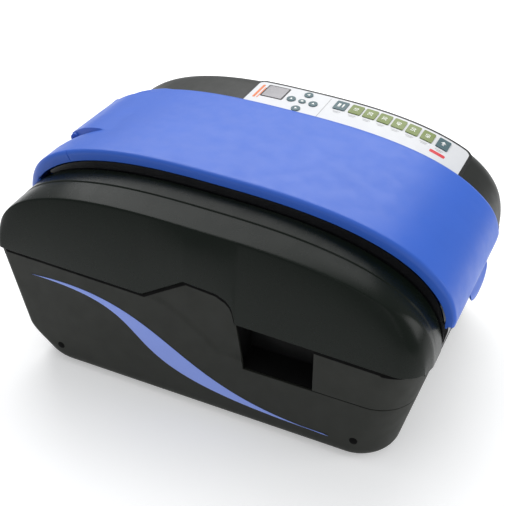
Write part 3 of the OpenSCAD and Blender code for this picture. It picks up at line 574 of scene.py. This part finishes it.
def base_columns(f, right_y):
    """The round of the base as columns.

    Each column has its share of the straight length, its corner part in x, its y centre, its
    corner part in y, whether it belongs to the sharper corner, and how far its y centre
    follows that corner.
    """
    near_y, far_y = NEAR + CORNER, FAR - CORNER
    turn = CORNER_COLUMNS
    a = np.radians(np.linspace(0, 90, turn + 2))[1:-1]
    one, none = np.ones, np.zeros
    back = (f < 0) * 1.0
    near = [f, 0 * f, near_y + 0 * f, -1 + 0 * f, back, back]
    near_right = [one(turn), np.sin(a), near_y * one(turn), -np.cos(a), none(turn), none(turn)]
    count = len(right_y)
    right = [one(count), one(count), right_y, none(count), none(count), none(count)]
    far_right = [one(turn), np.cos(a), far_y * one(turn), np.sin(a), none(turn), none(turn)]
    k = np.linspace(1, -1, 60)
    far = [k, 0 * k, far_y * one(60), one(60), none(60), none(60)]
    far_left = [-one(turn), -np.sin(a), far_y * one(turn), np.cos(a), none(turn), none(turn)]
    left = [-one(40), -one(40), far_y * one(40), none(40), one(40), np.linspace(0, 1, 40)]
    near_left = [-one(turn), -np.cos(a), near_y * one(turn), -np.sin(a), one(turn), one(turn)]
    sides = (near, near_right, right, far_right, far, far_left, left, near_left)
    return [np.concatenate(parts) for parts in zip(*sides)]


def base_point(columns, z, inset):
    """The base's skin at a height, set in by inset; its length grows with height by the draft."""
    sx, cx, cy0, cy, sharp, follow = columns
    half = FOOT_HALF + (z - FOOT) * DRAFT
    radius = np.where(sharp > 0, near_radius(z), CORNER)
    x = FOOT_MIDDLE + sx * (half - radius) + cx * (radius - inset)
    y = cy0 + follow * (NEAR + radius - cy0) + cy * (radius - inset)
    return np.stack([x, y, z + 0 * x], -1)


BOTTOM_ROUND = 13.0  # radius of the base's bottom edge
SEAM_SHADE_HEIGHT, PROUD = 3.7, 0.15  # height of the dark strip under the side cover, which is painted shade standing for the seam gap's shadow, and how proud it stands
MOUTH, MOUTH_TOP = (-63.5, 20.5), 118.5  # sides and top of the tape outlet, on the operator's end
PANEL_END = 89.0  # where the corner panel ends on the operator's end
PANEL_GAP = 0.6  # between the corner panel and its neighbours
TAB_SUNK = 0.9  # depth of the tab's own panel


def straight_share(x, z):
    """Share of the straight near side at which a place x lies at a height z."""
    radius = near_radius(z) if x < FOOT_MIDDLE else CORNER
    return (x - FOOT_MIDDLE) / (FOOT_HALF + (z - FOOT) * DRAFT - radius)


def base_tub():
    """The charcoal base: a closed drafted tub whose upper edge follows the seam, the tab and the recess.

    Columns go round the plan outline. Rows run from the middle of the underside outwards,
    round the bottom edge, and up to the upper edge.
    """
    edge = [*TAB[1:, :], (40, 126), (46, 84), (47, RECESS_Z), (RECESS_X, RECESS_Z), (240, RECESS_Z)]
    marks = [straight_share(x, z) for x, z in edge]
    first = straight_share(*TAB[0])
    f = np.unique(np.concatenate([np.linspace(-1, 1, 220), marks, [first]]))
    f = f[(f >= -1) & (f <= 1)]
    by_panel = [PANEL_END, PANEL_END + 0.3]
    right_y = np.unique(np.concatenate([np.linspace(NEAR + CORNER, FAR - CORNER, 50), by_panel]))
    columns = base_columns(f, right_y)
    top = seam_at(base_point(columns, np.array(SEAM), 0)[:, 0])
    count = len(f)
    on_tab = np.interp(f, [first, *marks[:8]], [TAB[0][1], *[z for _, z in edge[:8]]])
    top[:count] = np.where(f < first, top[:count], np.where(f < marks[8], on_tab, RECESS_Z))
    top[count:count + CORNER_COLUMNS] = RECESS_Z
    right = slice(count + CORNER_COLUMNS, count + CORNER_COLUMNS + len(right_y))
    top[right] = np.where(right_y <= PANEL_END, RECESS_Z, top[right])
    rows = []
    for k in (0.0, 0.3, 0.6, 0.85, 1.0):
        ring = base_point(columns, np.array(FOOT), BOTTOM_ROUND)
        middle = np.array([FOOT_MIDDLE, (NEAR + FAR) / 2, FOOT])
        rows.append(middle + k * (ring - middle))
    for b in np.radians(np.linspace(0, 90, 12))[1:]:
        z = FOOT + BOTTOM_ROUND * (1 - np.cos(b)) + 0 * top
        rows.append(base_point(columns, z, BOTTOM_ROUND * (1 - math.sin(b))))
    for v in np.linspace(0, 1, 50)[1:]:
        z = FOOT + BOTTOM_ROUND + (top - FOOT - BOTTOM_ROUND) * v
        skin = base_point(columns, z, 0)
        skin[:count, 1] += tab_relief(skin[:count, 0], skin[:count, 2])
        rows.append(skin)
    # A near-black strip, just proud of the skin below the upper edge along the near side as far as the tab,
    # is painted shade: it stands for the shadow in the gap under the side cover.
    last = int(np.searchsorted(f, marks[6]))
    strip = [column[:last] for column in columns]
    shade_strip = [base_point(strip, top[:last] - drop, -PROUD) for drop in (SEAM_SHADE_HEIGHT, SEAM_SHADE_HEIGHT / 2, 0)]
    sheet_piece("seam_shade_strip_base", np.array(shade_strip), SHADE_AND_SCREW_BLACK, "case", slot="black_rubber", heart=(0, 0, 0.06))
    return sheet_piece("base_tub", np.array(rows), BASE, "case", wall=WALL, rim=0.6, round_columns=True,
                       stands_for=["base_shell"], slot="dark_base", heart=(0, 0, 0.06))


def tab_relief(x, z):
    """How far the tab's own panel is sunk into the near side.

    Its left limit is a soft curve that sweeps down from the tab's foot, and its lower and
    right limits are fine grooves.
    """
    sweep = -61 + 78 * np.clip((133 - z) / 46, 0, 1) ** 0.62
    right = 41.5 + (126 - z) * 0.1
    inside = smooth((x - sweep) / 7) * smooth((z - 86.5) / 2.5) * (1 - smooth((x - right) / 0.8))
    return TAB_SUNK * inside


base_tub()


def corner_panel():
    """The panel that wraps the near corner at the operator's end, from the recess to past the outlet."""
    low = RECESS_Z + 0.7
    w = np.linspace(0, 1, 40)
    a = np.radians(np.linspace(0, 90, 26))[1:]
    by_mouth = [MOUTH[0] - 0.3, *MOUTH, MOUTH[1] + 0.3]
    right_y = np.unique(np.concatenate([np.linspace(NEAR + CORNER, PANEL_END - PANEL_GAP, 50)[1:], by_mouth]))
    top_x = FOOT_MIDDLE + FOOT_HALF + (SEAM - FOOT) * DRAFT
    rows = []
    bend, end = len(w), len(w) + len(a)  # first columns of the bend and of the operator's end
    places = np.concatenate([RECESS_X + w * 70, top_x + 0 * a, top_x + 0 * right_y])
    z_edge = seam_at(places) - PANEL_GAP
    in_mouth = (right_y >= MOUTH[0]) & (right_y <= MOUTH[1])
    z_edge[end:] = np.where(in_mouth, MOUTH_TOP, z_edge[end:])
    start = RECESS_X + PANEL_GAP
    y = np.concatenate([NEAR + 0 * w, NEAR + CORNER * (1 - np.cos(a)), right_y])
    for v in np.linspace(0, 1, 24):
        z = low + (z_edge - low) * v
        centre = FOOT_MIDDLE + FOOT_HALF + (z - FOOT) * DRAFT - CORNER
        x = np.concatenate([start + w * (centre[:bend] - start),
                            centre[bend:end] + CORNER * np.sin(a),
                            centre[end:] + CORNER])
        rows.append(np.stack([x, y, z], -1))
    out = np.stack([np.concatenate([0 * w, np.sin(a), 1 + 0 * right_y]),
                    np.concatenate([-1 + 0 * w, -np.cos(a), 0 * right_y])], -1)
    # The same near-black strip of painted shade runs just below the panel's upper edge and stands for the
    # shadow in the gap under the side cover.
    strip = rows[-1][:end + 20].copy()
    strip[:, :2] += PROUD * out[:len(strip)]
    shade_strip = [strip - np.array([0, 0, drop]) for drop in (SEAM_SHADE_HEIGHT, SEAM_SHADE_HEIGHT / 2, 0)]
    sheet_piece("seam_shade_strip_corner", np.array(shade_strip), SHADE_AND_SCREW_BLACK, "case", slot="black_rubber", heart=(0.1, 0, 0.1))
    return sheet_piece("corner_panel_shell", np.array(rows), BASE, "case", wall=2.0, rim=0.5,
                       stands_for=["corner_panel"], slot="dark_base", heart=(0.1, 0, 0.1))


corner_panel()


def cubic(points, t):
    """A cubic curve between two end points, drawn towards two control points."""
    p = np.array(points)[:, None, :]
    t = t[None, :, None]
    weights = np.concatenate([(1 - t) ** 3, 3 * t * (1 - t) ** 2, 3 * t * t * (1 - t), t**3])
    return (weights * p).sum(0)


INLAY_BACK, INLAY_FRONT = (-197, 113.2), (140, 23.9)


def swoosh():
    """The blue inlay: the space between two cubic curves that meet at both tips, slightly crowned."""
    t = np.linspace(0, 1, 150)
    upper = cubic([INLAY_BACK, (-28.5, 129.5), (-43.3, 22.7), INLAY_FRONT], t)
    lower = cubic([INLAY_BACK, (-10.3, 113.7), (-147, 22.6), INLAY_FRONT], t)
    rows = []
    for v in np.linspace(0, 1, 9):
        line = lower + (upper - lower) * v
        rise = 0.35 + 0.15 * math.sin(math.pi * v)
        rows.append(np.stack([line[:, 0], NEAR - rise + 0 * t, line[:, 1]], -1))
    return sheet_piece("swoosh_trim", np.array(rows), INLAY, "case", wall=0.6, rim=0.12,
                       stands_for=["swoosh_inlay"], slot="blue_inlay", heart=(0, 0, 0.06))


swoosh()


def panel_screws():
    """The two dished screw heads low on the near side; the first stands for the CAD's pair."""
    ring = [(0, -156.15), (2.0, -156.15), (2.3, -156.05), (3.6, -156.1), (4.1, -156.0),
            (4.2, -155.7), (4.2, -154.5), (0, -154.5)]
    lathe("panel_screw_1", ring, (-172, 0, 25), SHADE_AND_SCREW_BLACK, "case", stands_for=["panel_screws"])
    lathe("panel_screw_2", ring, (165.5, 0, 27.5), SHADE_AND_SCREW_BLACK, "case")


panel_screws()

# ---- chassis side wall ----

HINGE_X, HINGE_Z = -203.97, 209.01
SWING = 56.0  # radius round the hinge that the turning lid needs free
WALL_UNDER = 3.6  # how far the wall stays inside the lid's lip


def wall_outline():
    """Outline of the near side wall: an arch, with a notch round the hinge, on a drafted web."""
    top, back = COVER_TOP - EDGE - WALL_UNDER, COVER_BACK + 3 - EDGE - WALL_UNDER
    front = COVER_FRONT - EDGE - 0.6
    x, z = arch(np.linspace(0, 180, 240), top, ARCH_RISE, back, front)
    low_x = FOOT_MIDDLE + FOOT_HALF - 8
    high_x = FOOT_MIDDLE + FOOT_HALF + 21
    right = [(low_x, wall_low[2]), (high_x, SEAM - 10), (high_x, seam_at(high_x) + 1),
             (MIDDLE + front - 0.5, seam_at(230) + 1)]
    over = [(a, b) for a, b in zip(x, z) if a > HINGE_X + 5 and b > seam_at(a) + 1][::-1]
    inner = [(HINGE_X + 5, HINGE_Z - 3), (HINGE_X + SWING, HINGE_Z - 3)]
    turn = np.radians(np.linspace(-3, -125, 40))
    notch = [(HINGE_X + SWING * math.cos(b), HINGE_Z + SWING * math.sin(b)) for b in turn]
    notch = [(a, b) for a, b in notch if a > x.min() + 0.5]
    left = [(a, b) for a, b in zip(x, z) if a < HINGE_X and b > seam_at(a) + 1]
    left = [(a, b) for a, b in left if math.hypot(a - HINGE_X, b - HINGE_Z) > SWING][::-1]
    left_x = 2 * FOOT_MIDDLE - high_x
    left += [(left_x, seam_at(-220) + 1), (left_x, SEAM - 10), (2 * FOOT_MIDDLE - low_x, wall_low[2])]
    return right + over + inner + notch + left


plate("near_wall_plate", wall_outline(), wall_low[1], wall_high[1], GLOSS, "case", edge=0.5,
      stands_for=["near_side_wall"], slot="black_wall")

# ---- control housing ----

REAR_DROP = 24.0  # how far the arch is lower at the rear face


def housing_shell():
    """The charcoal housing behind the cover: arched sections that round down to the rear face.

    The last rows run straight down the rear face from its arch to the seam.
    """
    u = np.sin(np.radians(np.linspace(-90, 90, 150)))
    t = np.degrees(np.arccos(-np.sign(u) * np.abs(u) ** (SQUARENESS / 2)))
    front, rear = house_low[1], house_high[1]

    def section(y, a):
        """An arch at depth y; a turns from 0 to a quarter turn as the skin rounds down behind."""
        half = HOUSE_HALF - CORNER * 0.75 * (1 - math.cos(a))
        drop = REAR_DROP * math.sin(a) ** 3
        outline = (HOUSE_TOP - drop, ARCH_RISE - drop * 0.6, half, half)
        angles = cut_angles(t / 180, seam_at(MIDDLE - half), seam_at(MIDDLE + half), *outline)
        x, z = arch(angles, *outline)
        return np.stack([x, y + 0 * x, z], -1)

    rows = [section(y, 0) for y in np.linspace(front, rear - CORNER, 24)]
    for a in np.radians(np.linspace(0, 90, 26))[1:]:
        rows.append(section(rear - CORNER + CORNER * math.sin(a), a))
    last = rows[-1]
    for v in np.linspace(0, 1, 20)[1:]:
        z = last[:, 2] + (np.minimum(seam_at(last[:, 0]) + 0.6, last[:, 2]) - last[:, 2]) * v
        rows.append(np.stack([last[:, 0], last[:, 1], z], -1))
    return sheet_piece("housing_shell", np.array(rows), HOUSE, "case", wall=WALL, rim=0.6,
                       stands_for=["control_housing"], slot="dark_house", heart=(0, 0.05, 0.1))


housing = housing_shell()

# ---- keypad ----

plate_low, plate_high = node_box("keypad_plate")
PLATE_LIFT = 1.2  # height of the keypad's film above the housing
PRINT_LIFT = PLATE_LIFT + 0.08  # height of what is printed on it
KEY_LIFT = PLATE_LIFT + 0.9  # height of the keys' tops
KEY_GAP = 1.5  # round the keys, in the window under them
keys = [node for node in frame["nodes"] if node.startswith("key_") and node != "key_membrane"]
key_spots = np.array([node_box(node) for node in keys])
window_low, window_high = key_spots[:, 0, :2].min(0) - KEY_GAP, key_spots[:, 1, :2].max(0) + KEY_GAP
cut_window(housing, (*window_low, 150), (*window_high, 260))


def house_height(x):
    """Height of the housing's arch at a place x along the machine."""
    u = np.clip(np.abs(x - MIDDLE) / HOUSE_HALF, 0, 1)
    rise = ARCH_RISE * (1 - u**SQUARENESS) ** (1 / SQUARENESS)
    return HOUSE_TOP - ARCH_RISE - LEAN * (x - MIDDLE) + rise


def film_patch(name, x0, x1, y0, y1, corner, lift, finish, columns=90, rows=20, **more):
    """A thin film with round corners that follows the housing's arch at a height above it."""
    k = np.sin(np.radians(np.linspace(-90, 90, columns)))
    x = (x0 + x1) / 2 + (x1 - x0) / 2 * k
    past = np.clip(np.abs(x - (x0 + x1) / 2) - ((x1 - x0) / 2 - corner), 0, corner)
    half = (y1 - y0) / 2 - corner + np.sqrt(corner**2 - past**2)
    v = np.linspace(-1, 1, rows)[:, None]
    y = (y0 + y1) / 2 + half * v
    slope = house_height(x + 0.5) - house_height(x - 0.5)
    z = house_height(x) + lift / np.cos(np.arctan(slope)) + 0 * v
    grid = np.stack([x + 0 * v, y, z], -1)
    return sheet_piece(name, grid, finish, "case", heart=(0, 0, 0), **more)


def film_round(name, low, high, margin, corner, lift, finish, **more):
    """A film patch over a CAD box's plan, let out by a margin."""
    sides = (low[0] - margin, high[0] + margin, low[1] - margin, high[1] + margin)
    film_patch(name, *sides, corner, lift, finish, **more)


film_round("keypad_film", plate_low, plate_high, 0, 6, PLATE_LIFT, FILM,
           wall=1.1, rim=0.3, stands_for=["keypad_plate"], slot="white_film")
glass_low, glass_high = node_box("display_window")
film_round("display_bezel", glass_low, glass_high, 1.6, 1.8, PLATE_LIFT + 0.15, BLACK,
           columns=16, wall=0.3, rim=0.1, slot="black_plastic")
film_round("display_glass", glass_low, glass_high, 0, 0.8, PLATE_LIFT + 0.35, GLASS,
           columns=16, wall=0.3, rim=0.1, stands_for=["display_window"], slot="display_glass")
film_round("keypad_gasket", plate_low, plate_high, 3.4, 9.2, 1.15, BLACK,
           wall=0.6, rim=0.25, slot="black_rubber")


def key_axes(node):
    """Centre of a key's top, its direction along the arch, and its upward direction."""
    low, high = node_box(node)
    x, y = (low[0] + high[0]) / 2, (low[1] + high[1]) / 2
    slope = math.atan(float(house_height(x + 1) - house_height(x - 1)) / 2)
    up = np.array([-math.sin(slope), 0, math.cos(slope)])
    along = np.array([math.cos(slope), 0, math.sin(slope)])
    return np.array([x, y, float(house_height(x))]) + up * KEY_LIFT, along, up


def print_mark(name, node, outline):
    """A thin printed mark on a key from an outline of (right, away) points as the operator sees them.

    The operator stands at +X, so right is +Y and away is -X along the arch.
    """
    top, along, up = key_axes(node)
    points = [top + np.array([0, r, 0]) - along * w + up * 0.06 for r, w in outline]
    centre = np.mean(points, 0)
    heart = tuple((centre - up * 5) * MM)
    piece = make_piece(name, points, [list(range(len(points)))], INK_WHITE, body_of_node[node], heart=heart)
    thick = piece.modifiers.new("ink", "SOLIDIFY")
    thick.thickness, thick.offset = 0.05 * MM, -1


def numeral(name, node, words):
    """Generic numerals on a key: a text outline made into a mesh and laid on the key's top."""
    curve = bpy.data.curves.new(name, "FONT")
    curve.body, curve.size, curve.extrude = words, 7.5, 0.03
    curve.align_x, curve.align_y = "CENTER", "CENTER"
    holder = bpy.data.objects.new(name + "_text", curve)
    bpy.context.scene.collection.objects.link(holder)
    graph = bpy.context.evaluated_depsgraph_get()
    mesh = bpy.data.meshes.new_from_object(holder.evaluated_get(graph))
    bpy.data.objects.remove(holder)
    bpy.data.curves.remove(curve)
    co = np.zeros(len(mesh.vertices) * 3)
    mesh.vertices.foreach_get("co", co)
    co = co.reshape(-1, 3)
    top, along, up = key_axes(node)
    flat = np.outer(co[:, 0], [0, 1, 0]) - np.outer(co[:, 1], along)
    points = top + flat + np.outer(co[:, 2] + 0.05, up)
    faces = [list(p.vertices) for p in mesh.polygons]
    bpy.data.meshes.remove(mesh)
    heart = tuple((points.mean(0) - up * 5) * MM)
    make_piece(name, points, faces, INK_WHITE, body_of_node[node], heart=heart)


for i in range(1, 7):
    numeral(f"numeral_{i}", f"key_length_{i}", str(10 * i))
dot = [(1.7 * math.cos(a), 1.7 * math.sin(a)) for a in np.linspace(0, 2 * math.pi, 32, endpoint=False)]
sideways = [(-1.4, -2.0), (2.2, 0), (-1.4, 2.0)]
thick_arrow = [(-3.6, -1.2), (0.4, -1.2), (0.4, -3.2), (4.2, 0), (0.4, 3.2), (0.4, 1.2), (-3.6, 1.2)]
print_mark("arrow_up", "key_up", [(-2.2, -1.4), (2.2, -1.4), (0, 2.2)])
print_mark("arrow_down", "key_down", [(-2.2, 1.4), (2.2, 1.4), (0, -2.2)])
print_mark("arrow_left", "key_left", sideways)
print_mark("arrow_right", "key_right", sideways)
print_mark("enter_dot", "key_enter", dot)
print_mark("double_bar_1", "key_double", [(-4, -3.4), (4, -3.4), (4, -1.6), (-4, -1.6)])
print_mark("double_bar_2", "key_double", [(-4, 0.6), (4, 0.6), (4, 3.6), (-4, 3.6)])
print_mark("repeat_mark", "key_repeat", thick_arrow)


def printing():
    """What is printed on the keypad's film: a separator, bars, and blank lines for captions."""
    left, right = plate_low[0], plate_high[0]
    middle = (node_box("key_double")[0][0] + node_box("key_right")[1][0]) / 2
    film_patch("separator", middle - 0.35, middle + 0.35, 78, 127, 0.2, PRINT_LIFT, INK_GREY, columns=6)
    film_patch("accent_bar", left + 6, left + 9, 92, 124, 1.2, PRINT_LIFT, INK_ORANGE, columns=14)
    film_patch("accent_bar_thin", left + 11, left + 12.4, 92, 118, 0.6, PRINT_LIFT, INK_ORANGE, columns=10)
    for i, key in enumerate(["key_double", *[f"key_length_{n}" for n in range(1, 7)], "key_repeat"]):
        low, high = node_box(key)
        x = (low[0] + high[0]) / 2
        for name, half, y0, y1 in [("caption", 4.5, 102.4, 103.2), ("caption_low", 3.2, 100.2, 100.9)]:
            film_patch(f"{name}_{i + 1}", x - half, x + half, y0, y1, 0.3, PRINT_LIFT, INK_GREY,
                       columns=12, rows=3)
    film_patch("caution_bar", right - 36, right - 19, 92.5, 98, 1.6, PRINT_LIFT, INK_RED, columns=16, rows=4)


printing()

# ---- finishes of the CAD nodes that stay ----


def set_finish(nodes, finish):
    """Give each of these CAD nodes one finish."""
    for node in nodes:
        mesh = frame["nodes"][node].data
        mesh.materials.clear()
        mesh.materials.append(finish)


ZINC = brushed("zinc plate", rgb(150, 152, 150), 0.42, (1, 8, 1))
STEEL = brushed("blade steel", rgb(190, 192, 194), 0.26, (1, 12, 1))
ALUMINIUM = brushed("turned aluminium", rgb(184, 186, 188), 0.3, (1, 12, 12))
MOTOR = brushed("motor can", rgb(96, 98, 102), 0.4, (12, 1, 12))
RUBBER = moulded("black rubber", rgb(18, 18, 18), rough=0.78, grain=700, depth=0.4, shade=0.12, specular=0.25)
ROLLER = moulded("roller rubber", rgb(140, 70, 52), rough=0.7, grain=800, depth=0.3, shade=0.08, specular=0.3)
TANK = moulded("tank plastic", rgb(208, 212, 208), rough=0.42, grain=1200, depth=0.1, shade=0.03)
COIL = moulded("coil wrap", rgb(110, 66, 40), rough=0.5, grain=1500, depth=0.3, shade=0.12)
CORE = moulded("core board", rgb(150, 122, 88), rough=0.8, grain=900, depth=0.3, shade=0.1)
BRISTLE = moulded("bristle", rgb(34, 31, 28), rough=0.85, grain=3800, depth=0.9, shade=0.25)


def board_finish():
    """Green circuit board: fine tracks from a brick pattern under a lacquer."""
    material, tree, shader, place = new_material("circuit board")
    brick = tree.nodes.new("ShaderNodeTexBrick")
    brick.inputs["Scale"].default_value = 90
    brick.inputs["Color1"].default_value = rgb(24, 92, 52)
    brick.inputs["Color2"].default_value = rgb(30, 108, 60)
    brick.inputs["Mortar"].default_value = rgb(66, 140, 84)
    tree.links.new(place.outputs["Object"], brick.inputs["Vector"])
    tree.links.new(brick.outputs["Color"], shader.inputs["Base Color"])
    bump(tree, shader, brick.outputs["Fac"], 0.2)
    shader.inputs["Roughness"].default_value = 0.35
    return material


def tape_finish():
    """Wound kraft paper: close, slightly wavering rings round the roll's axis, in its colour and its bumps.
    """
    material, tree, shader, place = new_material("wound kraft paper")
    low, high = node_box("tape_roll")
    mapping = tree.nodes.new("ShaderNodeMapping")
    mapping.inputs["Location"].default_value = [-(a + b) / 2 * MM for a, b in zip(low, high)]
    tree.links.new(place.outputs["Object"], mapping.inputs["Vector"])
    rings = tree.nodes.new("ShaderNodeTexWave")
    rings.wave_type, rings.rings_direction = "RINGS", "Y"
    rings.inputs["Scale"].default_value = 260
    rings.inputs["Distortion"].default_value = 1.2
    rings.inputs["Detail"].default_value = 2
    tree.links.new(mapping.outputs["Vector"], rings.inputs["Vector"])
    colour = ramp(tree, rings.outputs["Fac"], [(0.2, rgb(150, 116, 74)), (0.8, rgb(190, 154, 106))])
    tree.links.new(colour, shader.inputs["Base Color"])
    bump(tree, shader, rings.outputs["Fac"], 0.35)
    shader.inputs["Roughness"].default_value = 0.75
    return material


def clear_finish(name, colour, weight, rough):
    """Translucent blow-moulded plastic with faint clouding."""
    material, tree, shader, place = new_material(name)
    clouds = noise(tree, place.outputs["Object"], 40, 4)
    darker = (*[c * 0.9 for c in colour[:3]], 1)
    tree.links.new(ramp(tree, clouds, [(0.3, colour), (0.7, darker)]), shader.inputs["Base Color"])
    gloss = ramp(tree, clouds, [(0.3, grey(rough)), (0.7, grey(rough + 0.1))])
    tree.links.new(gloss, shader.inputs["Roughness"])
    shader.inputs["Transmission Weight"].default_value = weight
    return material


set_finish(["rubber_feet", "drive_belt", "cover_buffer", "feed_roller"], RUBBER)
set_finish(["recess_liner", "display_module", "roll_cradle", "feed_pulley", "bottle_cap",
            "power_inlet", "switch_housing", "rocker_switch"], BLACK)
set_finish(["far_side_wall", "front_panel"], GLOSS)
set_finish(["rear_panel"], HOUSE)
set_finish(["chassis_plate", "hinge_bulkhead", "outlet_guide", "power_supply"], ZINC)
set_finish(["hinge_pins", "fixed_blade", "shear_blade"], STEEL)
set_finish(["cradle_roller_back", "cradle_roller_front", "motor_pulley", "heater_plate"], ALUMINIUM)
set_finish(["drive_motor"], MOTOR)
set_finish(["pressure_roller"], ROLLER)
set_finish(["water_tank"], TANK)
set_finish(["cutter_solenoid"], COIL)
set_finish(["water_brush"], BRISTLE)
set_finish(["control_board", "key_membrane"], board_finish())
set_finish(["tape_roll"], tape_finish())
set_finish(["roll_core"], CORE)
set_finish(["water_bottle"], clear_finish("bottle plastic", rgb(214, 226, 232), 0.6, 0.25))
set_finish(["key_up", "key_down", "key_left", "key_right", "key_enter", "key_double", "key_repeat"], TEAL)
set_finish([f"key_length_{i}" for i in range(1, 7)], OLIVE)

# ---- floor, light and camera ----

floor_mesh = bpy.data.meshes.new("floor")
floor_mesh.from_pydata([(-6, -6, 0), (6, -6, 0), (6, 6, 0), (-6, 6, 0)], [], [(0, 1, 2, 3)])
floor = bpy.data.objects.new("floor", floor_mesh)
bpy.context.scene.collection.objects.link(floor)
floor_mesh.materials.append(moulded("pale floor", grey(0.86), rough=0.6, grain=300, depth=0.0,
                                    shade=0.004, specular=0.2))
floor_shader = floor_mesh.materials[0].node_tree.nodes["Principled BSDF"]
floor_shader.inputs["Emission Color"].default_value = (1, 1, 1, 1)
floor_shader.inputs["Emission Strength"].default_value = 0.32

world = bpy.data.worlds.new("studio")
world.use_nodes = True
world.node_tree.nodes["Background"].inputs["Color"].default_value = (0.95, 0.97, 1, 1)
world.node_tree.nodes["Background"].inputs["Strength"].default_value = 0.5
bpy.context.scene.world = world


def softbox(name, place, aim, size, power):
    """A rectangular studio light at a place, turned to aim, in metres and watts."""
    light = bpy.data.lights.new(name, "AREA")
    light.shape, light.size, light.size_y = "RECTANGLE", size[0], size[1]
    light.energy = power
    holder = bpy.data.objects.new(name, light)
    holder.location = place
    holder.rotation_euler = (Vector(aim) - Vector(place)).to_track_quat("-Z", "Y").to_euler()
    bpy.context.scene.collection.objects.link(holder)


softbox("overhead", (-0.45, 1.0, 1.5), (0, 0, 0.2), (2.2, 1.6), 34)
softbox("edge strip", (-0.35, -0.45, 1.5), (0, -0.1, 0.2), (1.8, 0.12), 2.2)
softbox("front fill", (0.7, -1.7, 0.9), (0, 0, 0.12), (1.2, 0.8), 1.5)
softbox("end light", (1.6, 0.2, 0.7), (0.1, 0, 0.15), (0.9, 0.7), 7)

YAW, PITCH = 25.42, 35.59  # the camera's turn and its tilt down, in degrees
camera_data = bpy.data.cameras.new("camera")
camera_data.sensor_width, camera_data.lens = 36, 71.857708
camera = bpy.data.objects.new("camera", camera_data)
camera.location = (0.3739, -0.81984, 0.74449)
camera.rotation_euler = (math.radians(90 - PITCH), 0, math.radians(YAW))
bpy.context.scene.collection.objects.link(camera)
bpy.context.scene.camera = camera
bpy.context.scene.view_settings.view_transform = "Standard"

bpy.context.view_layer.update()
